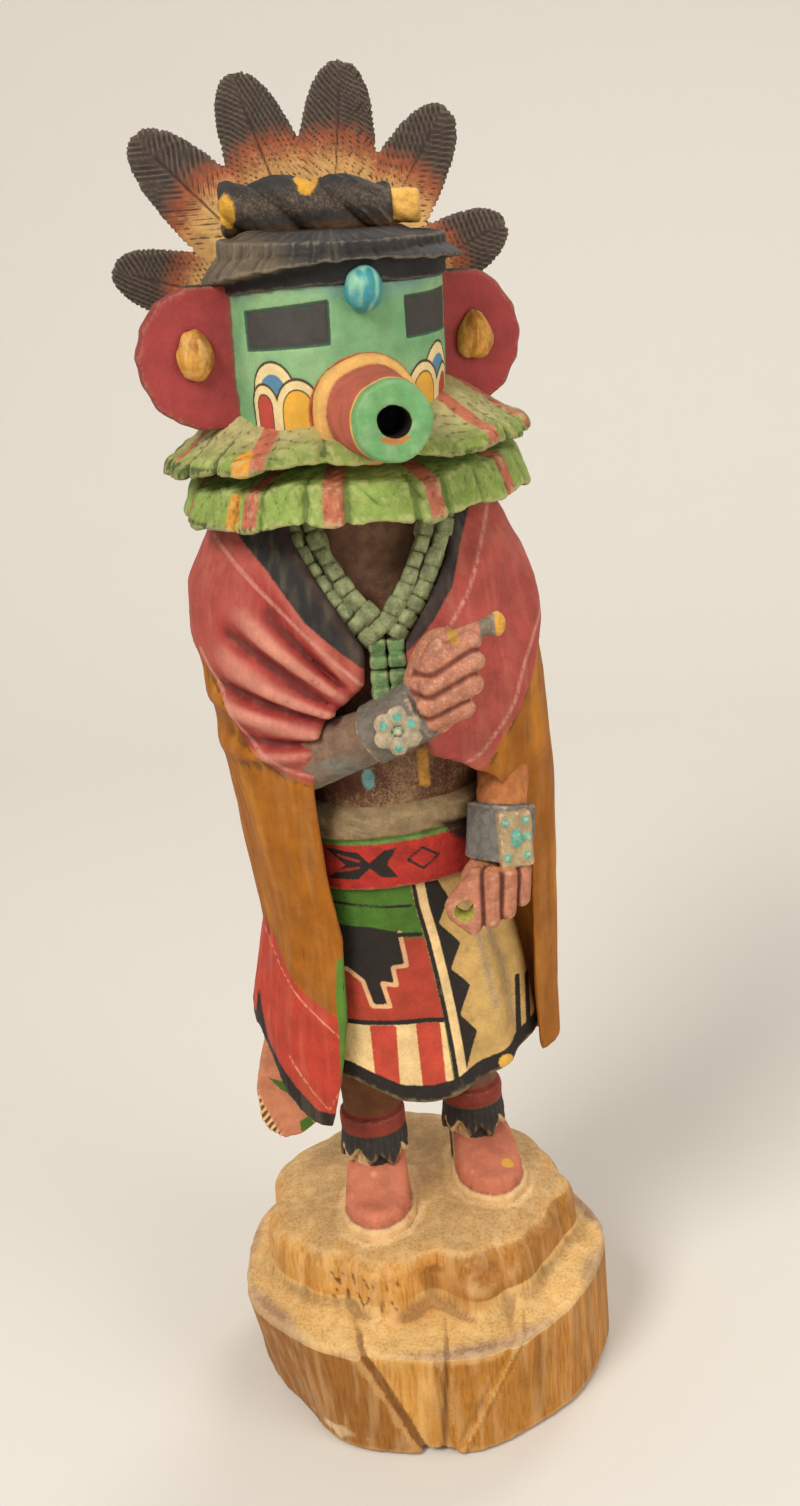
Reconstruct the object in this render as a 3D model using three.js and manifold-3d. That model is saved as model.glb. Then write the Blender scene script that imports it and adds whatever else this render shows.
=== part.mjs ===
// A carved and painted kachina doll standing on its own log base.
// Millimetres, +Z up, the figure faces -Y. Heights are measured from the underside of the base.

import * as THREE from 'three';
import { mergeVertices } from 'three/addons/utils/BufferGeometryUtils.js';
import Module from 'manifold-3d';

const wasm = await Module();
wasm.setup();

const TAU = 2 * Math.PI;

// ---- Driving sizes ----------------------------------------------------------------------------

const GAP = 0.3;              // air left between touching pieces

const BASE = {
  radius: 57,                 // log radius at the rim
  height: 35,                 // top of the outer ring
  edge: 2.5,                  // rounding of the hewn rim
  mound: { foot: 47.5, top: 44.5, frontBite: 7, notch: 4, height: 58 },
};

const FEET = {
  length: 41,
  width: 21,
  sole: 2.2,
  height: 11,
  bevel: 4,
  left: { x: -13.5, y: -10, turn: -4 },
  right: { x: 20.5, y: 4, turn: 10 },
};

const LEGS = {
  left: { x: -13.5, y: -1, radius: 8.6 },
  right: { x: 18, y: 10, radius: 8 },
  top: 118,
  cuff: { low: 63, high: 73, radius: 11.5 },
};

const KILT = {
  hem: 106,
  top: 176,
  hemWidth: 35.5,
  hemDepth: 29,
  waistWidth: 27,
  waistDepth: 25,
  folds: 8,
  foldDepth: 0.8,
};

const BELT = {
  sash: { low: 172.5, high: 185, width: 28.5, depth: 27 },
  roll: { low: 185, high: 197, width: 29.5, depth: 27.5 },
};

const TORSO = { centreX: 2.5, waist: 190, belly: 204, chest: 232, ribs: 254, shoulder: 268, neck: 296 };

const CAPE = {
  thickness: 4,
  shoulder: 288,
  hem: 95,
  cornerHem: 97,              // the corner that hangs low at the viewer's front left
  sideHem: 121,
  backHem: 110,
  rightDrop: 3,
  innerDrop: 30,              // how far the hollow runs on below the hem
  ringRise: 0.02,             // keeps the rings above one another where the hem is high
  opening: { front: -80, back: -8 },
};

const NECKLACE = {
  radius: 2.4,
  strands: [
    [[-17, -18, 283], [-14, -23, 268], [-7, -26, 255], [0, -28, 247]],
    [[-12, -18, 283], [-8, -23.5, 268], [-2, -26.5, 257], [3, -28, 248]],
    [[22, -18, 283], [19, -23, 268], [13, -26, 256], [6, -28, 247]],
    [[17, -18, 283], [14, -23.5, 268], [9, -26.5, 257], [4, -28, 248]],
  ],
  tile: { x: 1.2, y: -27.5, z: 242.6, width: 4.6, height: 3.4, depth: 16, pitchX: 5.1, pitchZ: 3.8 },
};

const RIGHT_ARM = {
  elbow: [-19, -31, 214.5],
  wrist: [4, -42.5, 225.5],
  guard: [1, -41.5, 224],
  hand: [14, -45, 232],
  knuckles: [24, -45, 246],
  stub: [[20, -44, 247], [32, -46, 251.5]],
  flower: { x: 5.5, y: -49.4, z: 226.8, ring: 4.3, petals: 6, petal: 2.3 },
};

const LEFT_ARM = {
  elbow: [35, -14, 219],
  wrist: [31, -26, 193],
  cuffEnd: [29, -29, 177.5],
  knuckles: [24, -31, 162],
  plaque: { x: 33.6, y: -34.4, z: 185, width: 9.6, depth: 5, height: 14, lean: 12 },
  grasp: { x: 18.2, y: -40.5, z: 168, radius: 2.6, height: 9 },
};

const RUFF = {
  upper: { x: -2.5, y: -3, width: 49, depth: 46, low: 292, high: 307, leaves: 13, sag: [5, 2] },
  lower: { x: -1, y: -3, width: 48, depth: 45.5, low: 278, high: 291, leaves: 13, sag: [2.5, 0] },
};

// Sizes of the head's own pieces are heights above the chin, in a frame turned with the face.
const HEAD = {
  x: -3.5,
  y: -12.5,
  chin: 300,
  turn: 16,                   // degrees that the face looks to the viewer's right
  tilt: 2.5,                  // degrees that the viewer's right side of the head is lowered
  radius: 28,
  depth: 26.6,
  high: 39,
  flatBack: 14.4,             // y of the flat ground that the feather fan stands against
  ground: { width: 140, depth: 60, height: 110, low: 305 },
};

const HAIR = { side: 33, frontLift: 4.5, rightLift: 3.5, high: 48.5, overhang: 3.8, top: 22 };

const EARS = { inner: 22, reach: { left: 52, right: 50 }, low: 2, high: 35.5, thickness: 6 };

const SNOUT = {
  z: 6,
  seat: 22.5,                 // flat seat in the mask, from the head's axis
  reach: 49.5,
  collar: 13,
  tube: 10.6,
  face: 9.6,
  bore: 4,
  boreDepth: 13,
};

const BEAD = { width: 9.4, height: 11.2, depth: 11, z: 35.5, out: 27.6 };

const KNOB = { width: 10, height: 13, depth: 4.2, z: 20, reach: { left: 38, right: 37 } };

const ROLL = {
  x: -3.5,
  y: -9,
  z: 353.8,
  rise: -3,                   // the viewer's right end lies lower
  length: 51,
  radius: 7.2,
  lobes: 3,
  twist: 1.1,
  cutEnd: 0.86,               // share of the length where the bare cut end starts
};

const FAN = { x: -4, z: 322, y: 14.7, thickness: 4.4, hub: 15.5 };

const FEATHERS = [
  { angle: 161.5, reach: 61, width: 20 },
  { angle: 132, reach: 71, width: 22 },
  { angle: 107, reach: 69, width: 21.5 },
  { angle: 82.5, reach: 67.5, width: 21.5 },
  { angle: 56.5, reach: 64, width: 20.5 },
  { angle: 25, reach: 54.5, width: 20 },
];

// ---- Finishes ---------------------------------------------------------------------------------

const finish = (color, roughness) => new THREE.MeshStandardMaterial({ color, roughness, metalness: 0 });

const FINISHES = {
  carving: finish(0xb8772f, 0.62),
  snout: finish(0x6f9c5e, 0.6),
  bead: finish(0x3f86a0, 0.3),
  knob: finish(0xd8a23c, 0.6),
  roll: finish(0x2b2421, 0.65),
  feathers: finish(0xb4512a, 0.65),
};

// ---- Solids -----------------------------------------------------------------------------------

/** A closed manifold solid made from a closed three.js geometry. */
function solid(geometry) {
  const bare = geometry.clone();
  bare.deleteAttribute('normal');
  bare.deleteAttribute('uv');
  const merged = mergeVertices(bare, 1e-4);
  return new wasm.Manifold(new wasm.Mesh({
    numProp: 3,
    vertProperties: merged.attributes.position.array,
    triVerts: new Uint32Array(merged.index.array),
  }));
}

/** All the given solids joined into one. */
const join = (parts) => parts.reduce((whole, part) => whole.add(part));

/** A named three.js mesh with flat faces, made from a manifold solid. */
function meshOf(name, body, material) {
  const { vertProperties, triVerts } = body.getMesh();
  const indexed = new THREE.BufferGeometry();
  indexed.setAttribute('position', new THREE.BufferAttribute(new Float32Array(vertProperties), 3));
  indexed.setIndex(new THREE.BufferAttribute(new Uint32Array(triVerts), 1));
  const geometry = indexed.toNonIndexed();
  geometry.computeVertexNormals();
  const mesh = new THREE.Mesh(geometry, material);
  mesh.name = name;
  return mesh;
}

/**
 * A closed solid lofted through rings. Each ring is a list of [x, y, z] points, all with the same
 * number of points, going anticlockwise seen from the end that the loft grows towards.
 */
function loft(rings) {
  const count = rings[0].length;
  const points = rings.flat();
  const middle = (ring) => [0, 1, 2].map((axis) => ring.reduce((sum, p) => sum + p[axis], 0) / count);
  const first = points.push(middle(rings[0])) - 1;
  const last = points.push(middle(rings[rings.length - 1])) - 1;
  const index = [];
  for (let row = 0; row < rings.length - 1; row += 1) {
    for (let side = 0; side < count; side += 1) {
      const next = (side + 1) % count;
      const a = row * count + side;
      const b = row * count + next;
      index.push(a, b, b + count, a, b + count, a + count);
    }
  }
  const end = (rings.length - 1) * count;
  for (let side = 0; side < count; side += 1) {
    const next = (side + 1) % count;
    index.push(first, next, side, last, end + side, end + next);
  }
  const geometry = new THREE.BufferGeometry();
  geometry.setAttribute('position', new THREE.Float32BufferAttribute(points.flat(), 3));
  geometry.setIndex(index);
  return solid(geometry);
}

/** One ring of a loft: a radius function of the angle, about a centre, at a height or height function. */
function ring(count, centre, height, radii) {
  return Array.from({ length: count }, (_, step) => {
    const angle = (TAU * step) / count;
    const [rx, ry] = radii(angle);
    const z = typeof height === 'function' ? height(angle) : height;
    return [centre[0] + rx * Math.cos(angle), centre[1] + ry * Math.sin(angle), z];
  });
}

/** Superellipse radii: power 2 is an ellipse, more is squarer. */
function oval(rx, ry, power = 2) {
  return (angle) => {
    const c = Math.abs(Math.cos(angle)) ** power;
    const s = Math.abs(Math.sin(angle)) ** power;
    const scale = (c + s) ** (-1 / power);
    return [rx * scale, ry * scale];
  };
}

/** A loft of ovals given as [z, centreX, centreY, rx, ry]. */
const ovals = (count, rows, power = 2) => loft(
  rows.map(([z, x, y, rx, ry]) => ring(count, [x, y], z, oval(rx, ry, power))),
);

/** A flat outline in X and Z, extruded from y0 back to y1. */
function slab(shape, y0, y1, bevel = 0) {
  const geometry = new THREE.ExtrudeGeometry(shape, {
    depth: y1 - y0 - 2 * bevel,
    curveSegments: 10,
    bevelEnabled: bevel > 0,
    bevelThickness: bevel,
    bevelSize: bevel,
    bevelOffset: -bevel,
    bevelSegments: 1,
  });
  geometry.rotateX(Math.PI / 2);
  geometry.translate(0, y1 - bevel, 0);
  return geometry;
}

/** A closed shape through corner points. */
const outline = (corners) => new THREE.Shape(corners.map(([x, y]) => new THREE.Vector2(x, y)));

/** A closed smooth shape through a few points. */
const smoothOutline = (corners, divisions) => new THREE.Shape(
  new THREE.CatmullRomCurve3(corners.map(([x, y]) => new THREE.Vector3(x, y, 0)), true)
    .getSpacedPoints(divisions)
    .slice(0, divisions)
    .map((point) => new THREE.Vector2(point.x, point.y)),
);

/** A rod with round-ish section swept along a curve through points. */
function sweep(points, radius, steps, sides = 6) {
  const section = new THREE.Shape();
  section.absarc(0, 0, radius, 0, TAU, false);
  const path = new THREE.CatmullRomCurve3(points.map((p) => new THREE.Vector3(...p)));
  return solid(new THREE.ExtrudeGeometry(section, {
    steps,
    curveSegments: sides,
    bevelEnabled: false,
    extrudePath: path,
  }));
}

/** A limb: ovals lofted along the straight line from one point to another. */
function limb(from, to, rows, sides = 12) {
  const start = new THREE.Vector3(...from);
  const along = new THREE.Vector3(...to).sub(start);
  const length = along.length();
  const turn = new THREE.Quaternion().setFromUnitVectors(new THREE.Vector3(0, 0, 1), along.normalize());
  const placed = rows.map(([share, rx, ry]) => ring(sides, [0, 0], share * length, oval(rx, ry, 2.4))
    .map((p) => new THREE.Vector3(...p).applyQuaternion(turn).add(start).toArray()));
  return loft(placed);
}

/** A smooth bump of height 1 at the centre that fades to 0 at the given half-width, in radians. */
function bump(angle, centre, halfWidth) {
  const away = Math.atan2(Math.sin(angle - centre), Math.cos(angle - centre)) / halfWidth;
  return Math.abs(away) < 1 ? 0.5 + 0.5 * Math.cos(Math.PI * away) : 0;
}

const radians = (degrees) => (degrees * Math.PI) / 180;

const FRONT = -Math.PI / 2;

// ---- Base -------------------------------------------------------------------------------------

/** The log's radius round its side: nearly round, with hewn flats and a cut lower front-left. */
function logRadius(angle, z) {
  const hewn = 0.7 * Math.cos(5 * angle + 0.6) + 0.5 * Math.cos(9 * angle);
  const lowCut = 8 * bump(angle, radians(-152), 0.75) * (1 - z / BASE.height);
  const wedge = 2.2 * bump(angle, FRONT - 0.05, 0.42) * (z / BASE.height);
  return BASE.radius + hewn - lowCut - wedge;
}

/** The mound's radius: bitten in at the front, in long hewn facets. */
function moundRadius(angle, radius) {
  const { frontBite, notch } = BASE.mound;
  const facets = 1.1 * Math.cos(7 * angle + 0.4) + 0.8 * Math.cos(11 * angle + 1.2);
  return radius + facets - frontBite * bump(angle, FRONT, 1.4) - notch * bump(angle, FRONT + 0.12, 0.35);
}

function logBase() {
  const { height, edge, mound } = BASE;
  const sides = 36;
  const round = (radiusAt) => (angle) => [radiusAt(angle), radiusAt(angle)];
  const wall = (z, inset) => ring(sides, [0, 0], z, round((angle) => logRadius(angle, z) - inset));
  const log = loft([
    wall(0, 1.2),
    wall(1.2, 0),
    wall(height * 0.5, 0),
    wall(height - edge, 0),
    wall(height, edge),
    ring(sides, [0, 0], height + 2.5, round(() => mound.foot - 6)),
  ]);
  const hill = loft([
    ring(sides, [0, 2], height - 3, round((angle) => moundRadius(angle, mound.foot))),
    ring(sides, [0, 2], height + 3, round((angle) => moundRadius(angle, mound.foot))),
    ring(sides, [0, 2], mound.height - 7, round((angle) => moundRadius(angle, mound.top + 2))),
    ring(sides, [0, 2], mound.height - 3, round((angle) => moundRadius(angle, mound.top))),
    ring(sides, [0, 2], mound.height, round((angle) => moundRadius(angle, mound.top) * 0.8)),
  ]);
  return log.add(hill);
}

// ---- Feet and legs ----------------------------------------------------------------------------

/** A moccasin outline, toe towards -Y, widest across the ball of the foot. */
const footOutline = (length, width) => smoothOutline([
  [0, -length / 2],
  [width * 0.36, -length * 0.42],
  [width / 2, -length * 0.16],
  [width * 0.4, length * 0.2],
  [width * 0.26, length * 0.45],
  [-width * 0.26, length * 0.45],
  [-width * 0.4, length * 0.2],
  [-width / 2, -length * 0.16],
  [-width * 0.36, -length * 0.42],
], 14);

function foot({ x, y, turn }) {
  const { length, width, sole, height, bevel } = FEET;
  const level = BASE.mound.height;
  const pad = new THREE.ExtrudeGeometry(footOutline(length, width), {
    depth: sole + 2,
    bevelEnabled: false,
  });
  pad.translate(0, 0, -2);
  const upper = new THREE.ExtrudeGeometry(footOutline(length - 4, width - 3), {
    depth: height - bevel,
    bevelThickness: bevel,
    bevelSize: bevel,
    bevelOffset: -bevel,
    bevelSegments: 1,
  });
  return solid(pad).add(solid(upper)).rotate([0, 0, turn]).translate([x, y, level]);
}

/** A leg with a flared fur cuff whose lower edge is cut into points. */
function leg({ x, y, radius }) {
  const { top, cuff } = LEGS;
  const shank = ovals(14, [
    [BASE.mound.height + 3, x, y, radius, radius],
    [cuff.high, x, y, radius, radius],
    [top, x, y, radius + 1.5, radius + 1.5],
  ]);
  const fur = (angle) => cuff.radius + 0.7 * Math.cos(9 * angle);
  const flare = loft([
    ring(27, [x, y], (angle) => cuff.low + 1.4 * Math.cos(9 * angle), (angle) => [fur(angle), fur(angle)]),
    ring(27, [x, y], cuff.high - 2, () => [cuff.radius - 1, cuff.radius - 1]),
    ring(27, [x, y], cuff.high, () => [radius + 0.6, radius + 0.6]),
  ]);
  return shank.add(flare);
}

// ---- Kilt, belt and torso ---------------------------------------------------------------------

function kilt() {
  const { hem, top, hemWidth, hemDepth, waistWidth, waistDepth, folds, foldDepth } = KILT;
  const pleated = (rx, ry, depth) => (angle) => {
    const [x, y] = oval(rx, ry, 2.3)(angle);
    const fold = depth * Math.cos(2 * folds * angle) * bump(angle, radians(-30), 1.4);
    return [x + fold, y + fold];
  };
  const dip = (angle) => hem + 2.5 * Math.sin(angle) ** 2 * (Math.sin(angle) < 0 ? -0.6 : 1);
  return loft([
    ring(40, [2, 0], dip, pleated(hemWidth, hemDepth, foldDepth)),
    ring(40, [2, 0], (hem + top) / 2, pleated((hemWidth + waistWidth) / 2 + 1, 28, foldDepth)),
    ring(40, [2, -1], top, pleated(waistWidth, waistDepth, 0)),
  ]);
}

function belt() {
  const { sash, roll } = BELT;
  const band = ovals(28, [
    [sash.low, 1.5, -1, sash.width - 0.5, sash.depth],
    [sash.high, 1.5, -1.5, sash.width - 1, sash.depth],
  ], 2.3);
  const middle = (roll.low + roll.high) / 2;
  const bolster = ovals(28, [
    [roll.low, 1.5, -1.5, roll.width - 3, roll.depth - 2.5],
    [middle - 3, 1.5, -1.5, roll.width - 0.3, roll.depth - 0.3],
    [middle + 3, 1.5, -1.5, roll.width - 0.3, roll.depth - 0.3],
    [roll.high, 1.5, -1.5, roll.width - 4, roll.depth - 3.5],
  ], 2.3);
  return band.add(bolster);
}

function torso() {
  const { centreX, waist, belly, chest, ribs, shoulder, neck } = TORSO;
  return ovals(20, [
    [waist, centreX, -1.5, 25, 24],
    [belly, centreX, -1.5, 26, 26],
    [chest, centreX, -1, 28, 25],
    [ribs, centreX - 1, 0, 29, 24],
    [shoulder, centreX - 2, 1, 25, 22],
    [neck - 16, centreX - 2, 0, 20, 20],
    [neck, centreX - 3, -3, 19, 19],
  ], 2.2);
}

// ---- Cape -------------------------------------------------------------------------------------

/** Cape sections from hem to shoulder as [z, centreX, centreY, rx, ry]. */
const CAPE_ROWS = [
  [CAPE.hem, 0, 3, 46, 37],
  [125, 0, 3, 46, 37.5],
  [152, 3.6, 3, 43.6, 38],
  [190, 2.4, 2, 46, 39],
  [222, 0.4, 1, 48, 39.5],
  [245, -2.2, 0, 48, 38],
  [259, -2.6, -1, 46.5, 35],
  [273, -2.4, -1, 39, 31],
  [CAPE.shoulder, -2, -2, 29, 26],
];

/** Folds run down the cape: long shallow waves, deeper on the viewer's left shoulder. */
function capeRadii(rx, ry, z) {
  const lower = 1 - THREE.MathUtils.smoothstep(z, 200, 270);
  return (angle) => {
    const [x, y] = oval(rx, ry, 2.15)(angle);
    const shoulder = bump(angle, Math.PI, 1.2) * Math.cos(9 * angle);
    const wave = 0.8 * lower * Math.cos(8 * angle + 1) + 0.7 * shoulder;
    return [x + wave, y + wave];
  };
}

/** The lower edge of the cape: a corner hangs low at the front left, the sides are drawn up. */
function capeHem(angle) {
  const { cornerHem, sideHem, backHem, rightDrop } = CAPE;
  const side = backHem + (sideHem - backHem) * bump(angle, Math.PI, 1.1);
  const corner = (side - cornerHem) * bump(angle, radians(-128), 0.9);
  return side - corner - rightDrop * bump(angle, 0, 0.9);
}

/** The V neck, and below it the opening down to the hem, seen from the front. */
const CAPE_OPENING = [
  [-21, 292], [-19, 272], [-10, 256], [-2.5, 243], [-3.5, 233], [-14, 227],
  [-18, 219], [-19, 203], [-18, 176], [-15.5, 158], [-16.5, 132], [-20, 112], [-27, 90],
  [39, 90], [38, 130], [37, 176], [34, 200], [28, 207], [13, 213],
  [9, 230], [9, 244], [16, 254], [21.5, 264], [23.5, 278], [24, 292],
];

function cape() {
  const { thickness, innerDrop, ringRise, opening } = CAPE;
  const sides = 32;
  const shell = (inset, drop) => loft(CAPE_ROWS.map(([z, x, y, rx, ry], row) => ring(
    sides,
    [x, y],
    (angle) => (row === 0 ? capeHem(angle) - drop : Math.max(z, capeHem(angle) + ringRise * z)),
    capeRadii(rx - inset, ry - inset, z),
  )));
  const front = solid(slab(outline(CAPE_OPENING), opening.front, opening.back));
  return shell(0, 0).subtract(shell(thickness, innerDrop)).subtract(front);
}

/** The flat of wood left between the cape and the figure's back and sides. */
function capeBacking() {
  return ovals(20, [
    [KILT.hem + 8, 2, 16, 32, 22],
    [BELT.sash.high, 2, 15, 34, 24],
    [TORSO.chest, 1, 14, 38, 23.5],
    [TORSO.shoulder, -1, 9, 38, 21.5],
    [CAPE.shoulder - 2, -2, 3, 27, 20.5],
  ], 2.4);
}

/** Corners of the end of the sash that hangs out under the cape at the viewer's left. */
const SASH_END = [[-49, 84], [-46, 79], [-38, 76], [-31, 80], [-31, 122], [-40, 122], [-45, 104]];

const sashEnd = () => solid(slab(outline(SASH_END), -2, 6));

// ---- Necklace, arms and hands -----------------------------------------------------------------

function necklace() {
  const { radius, strands, tile } = NECKLACE;
  const tiles = [];
  for (let row = 0; row < 3; row += 1) {
    for (let column = 0; column < 2; column += 1) {
      const box = new THREE.BoxGeometry(tile.width, tile.depth, tile.height);
      box.translate(tile.x + column * tile.pitchX, tile.y, tile.z - row * tile.pitchZ);
      tiles.push(solid(box));
    }
  }
  return join([...strands.map((points) => sweep(points, radius, 7, 2)), ...tiles]);
}

/** A fist: a rounded block with finger ridges round one side. */
function fist(from, to, width, depth, fingers, roll) {
  const start = new THREE.Vector3(...from);
  const along = new THREE.Vector3(...to).sub(start);
  const length = along.length();
  const turn = new THREE.Quaternion().setFromUnitVectors(new THREE.Vector3(0, 0, 1), along.normalize());
  turn.multiply(new THREE.Quaternion().setFromAxisAngle(new THREE.Vector3(0, 0, 1), roll));
  const swell = [[0, 0.62], [0.2, 0.9], [0.5, 1], [0.82, 0.86], [1, 0.5]];
  const rings = swell.map(([share, size]) => ring(20, [0, 0], share * length, (angle) => {
    const [x, y] = oval(width * size, depth * size, 2.6)(angle);
    const ridge = 1 + 0.05 * Math.cos(fingers * 2 * angle) * bump(angle, FRONT, 1.6);
    return [x * ridge, y * ridge];
  }).map((p) => new THREE.Vector3(...p).applyQuaternion(turn).add(start).toArray()));
  return loft(rings);
}

function rightArm() {
  const { elbow, wrist, guard, hand, knuckles, stub, flower } = RIGHT_ARM;
  const forearm = limb(elbow, wrist, [[-0.25, 4, 5], [0.1, 8, 9.4], [0.5, 8, 9.2], [1, 6, 6.6]]);
  const bracelet = limb(guard, hand, [[0, 6.8, 7.4], [1, 7.2, 7.8]], 14);
  const grip = fist(hand, knuckles, 8.6, 8.4, 4, 0.3);
  const held = limb(stub[0], stub[1], [[0, 2.4, 3.2], [1, 2.2, 3.2]], 10);
  const petals = Array.from({ length: flower.petals }, (_, petal) => {
    const angle = (TAU * petal) / flower.petals + 0.4;
    const bead = new THREE.SphereGeometry(flower.petal, 6, 3);
    bead.scale(1, 0.7, 1);
    bead.translate(flower.ring * Math.cos(angle), 0, flower.ring * Math.sin(angle));
    bead.translate(flower.x, flower.y, flower.z);
    return solid(bead);
  });
  const support = ovals(12, [[212, 16, -24, 9, 12], [230, 14, -30, 10, 14], [244, 20, -28, 9, 14]]);
  return join([forearm, bracelet, grip, held, support, ...petals]);
}

function leftArm() {
  const { elbow, wrist, cuffEnd, knuckles, plaque, grasp } = LEFT_ARM;
  const forearm = limb(elbow, wrist, [[0, 7, 8], [0.5, 7.4, 7.6], [1, 6.8, 7]]);
  const cuff = limb(wrist, cuffEnd, [[0, 8, 7.6], [1, 8.8, 8.4]], 14);
  const plate = new THREE.BoxGeometry(plaque.width, plaque.depth, plaque.height);
  plate.rotateX(radians(plaque.lean));
  plate.translate(plaque.x, plaque.y, plaque.z);
  const grip = fist(cuffEnd, knuckles, 10.4, 9.4, 4, 0);
  const hole = new THREE.CylinderGeometry(grasp.radius, grasp.radius, grasp.height, 10);
  hole.translate(grasp.x, grasp.y, grasp.z);
  return join([forearm, cuff, solid(plate), grip]).subtract(solid(hole));
}

// ---- Ruff, head, hair and ears ----------------------------------------------------------------

/** One tier of the ruff: a drooping collar, lower at its sides, with an edge cut into leaves. */
function ruffTier({ x, y, width, depth, low, high, leaves, sag }, phase) {
  const sides = 3 * leaves;
  const leaf = (angle) => Math.cos(leaves * angle + phase);
  const edge = (share, cut) => (angle) => [
    width * share + cut * leaf(angle),
    depth * share + cut * leaf(angle),
  ];
  const drooping = (z, wave) => (angle) => (
    z + wave * leaf(angle) - sag[0] * bump(angle, Math.PI, 1.3) - sag[1] * bump(angle, 0, 1.3)
  );
  return loft([
    ring(sides, [x, y], low + 1, edge(0.5, 0)),
    ring(sides, [x, y], drooping(low + 1, 1), edge(0.95, 0.5)),
    ring(sides, [x, y], drooping(low + 4, 0), edge(1, 0.9)),
    ring(sides, [x, y], high - 2.5, edge(0.8, 0.7)),
    ring(sides, [x, y], high, edge(0.5, 0)),
  ]);
}

function mask() {
  const { radius, depth, high } = HEAD;
  return ovals(28, [
    [0, 0.4, 0, radius - 1.4, depth - 1],
    [14, 0.2, 0, radius, depth],
    [high, 0, 0, radius, depth],
  ], 2.15);
}

/** The hair block, or the same form swollen by a margin, which seats the twisted roll. */
function hair(margin = 0) {
  const { radius, depth } = HEAD;
  const { side, frontLift, rightLift, high, overhang, top } = HAIR;
  const wide = radius + overhang + margin;
  const deep = depth + overhang - 1 + margin;
  const lower = (rise) => (angle) => (
    side + rise - margin + frontLift * bump(angle, FRONT, 1.4) + rightLift * bump(angle, 0, 1.4)
  );
  return loft([
    ring(28, [0, 0], lower(0), oval(wide - 1, deep - 1, 2.3)),
    ring(28, [-0.3, 0.5], lower(4), oval(wide, deep, 2.3)),
    ring(28, [-1, 3], high - 3.5, oval(top + 4.5 + margin, top + 1 + margin, 2.3)),
    ring(28, [-1.2, 5], high + margin, oval(top + margin, top - 3 + margin, 2.3)),
  ]);
}

/** One ear plate: side is -1 at the viewer's left and +1 at the right. */
function ear(side) {
  const { inner, low, high, thickness } = EARS;
  const reach = side < 0 ? EARS.reach.left : EARS.reach.right;
  const tall = (high - low) / 2;
  const shape = smoothOutline([
    [inner * side, high - 1],
    [(inner + 14) * side, high],
    [(reach - 5) * side, high - 5],
    [reach * side, low + tall],
    [(reach - 3.5) * side, low + 6],
    [(reach - 12) * side, low],
    [inner * side, low + 2],
  ], 18);
  return solid(slab(shape, -thickness / 2, thickness / 2, 1));
}

/** Moves a solid from the head's own frame to the figure's. */
const onHead = (body) => body.rotate([0, HEAD.tilt, HEAD.turn]).translate([HEAD.x, HEAD.y, HEAD.chin]);

function carvedFigure() {
  const whole = join([
    logBase(),
    foot(FEET.left),
    foot(FEET.right),
    leg(LEGS.left),
    leg(LEGS.right),
    kilt(),
    belt(),
    torso(),
    cape(),
    capeBacking(),
    sashEnd(),
    necklace(),
    rightArm(),
    leftArm(),
    ruffTier(RUFF.lower, 0.4),
    ruffTier(RUFF.upper, 1.3),
    onHead(mask()),
    onHead(hair()),
    onHead(ear(-1)),
    onHead(ear(1)),
  ]);
  const { width, depth, height } = HEAD.ground;
  const ground = new THREE.BoxGeometry(width, depth, height);
  ground.translate(0, HEAD.flatBack + depth / 2, HEAD.ground.low + height / 2);
  return whole
    .subtract(solid(ground))
    .subtract(onHead(snout(GAP)))
    .subtract(onHead(foreheadBead(GAP)));
}

// ---- Applied pieces ---------------------------------------------------------------------------

/** The snout: a collar, a tapered tube and a blind bore on a flat seat. Axis along -Y. */
function snout(margin = 0) {
  const { z, reach, seat, collar, tube, face, bore, boreDepth } = SNOUT;
  const tip = reach + margin;
  const body = [
    [0, seat - margin], [collar + margin, seat - margin], [collar + margin, seat + 6 + margin],
    [tube + margin, seat + 8 + margin], [face + 0.6 + margin, tip - 2.4], [face + margin, tip],
  ];
  const hole = [[bore, tip], [bore, tip - boreDepth], [0, tip - boreDepth]];
  const profile = [...body, ...(margin > 0 ? [[0, tip]] : hole)];
  const turned = new THREE.LatheGeometry(profile.map(([r, h]) => new THREE.Vector2(r, h)), 22);
  turned.rotateX(Math.PI);
  turned.translate(0, 0, z);
  return solid(turned);
}

function foreheadBead(margin = 0) {
  const { width, height, depth, z, out } = BEAD;
  const stone = new THREE.SphereGeometry(0.5, 12, 8);
  stone.scale(width + 2 * margin, depth + 2 * margin, height + 2 * margin);
  stone.translate(0, -out, z);
  return solid(stone);
}

function earKnob(side) {
  const { width, height, depth, z } = KNOB;
  const reach = side < 0 ? KNOB.reach.left : KNOB.reach.right;
  const face = -EARS.thickness / 2 - GAP;
  const ball = new THREE.SphereGeometry(0.5, 12, 8);
  ball.scale(width, 2 * depth, height);
  ball.translate(side * reach, face, z);
  const behind = new THREE.BoxGeometry(2 * width, 2 * depth, 2 * height);
  behind.translate(side * reach, face + depth, z);
  return solid(ball).subtract(solid(behind));
}

/** The twisted roll: a three-lobed bar whose lobes wind along it, with a thinner bare cut end. */
function twistRoll() {
  const { x, y, z, rise, length, radius, lobes, twist, cutEnd } = ROLL;
  const stations = 12;
  const sides = 12;
  const rings = Array.from({ length: stations + 1 }, (_, step) => {
    const share = step / stations;
    const swell = share > cutEnd ? 0.72 : 0.84 + 0.16 * Math.sin((Math.PI * share) / cutEnd);
    const twisted = share > cutEnd ? 0 : 0.1;
    return Array.from({ length: sides }, (__, side) => {
      const angle = (TAU * side) / sides;
      const lobe = 1 + twisted * Math.cos(lobes * (angle - TAU * twist * share));
      const r = radius * swell * lobe;
      const along = share - 0.5;
      return [x + along * length, y + r * Math.cos(angle), z + rise * along + r * Math.sin(angle)];
    });
  });
  return loft(rings).subtract(onHead(hair(GAP)));
}

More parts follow.
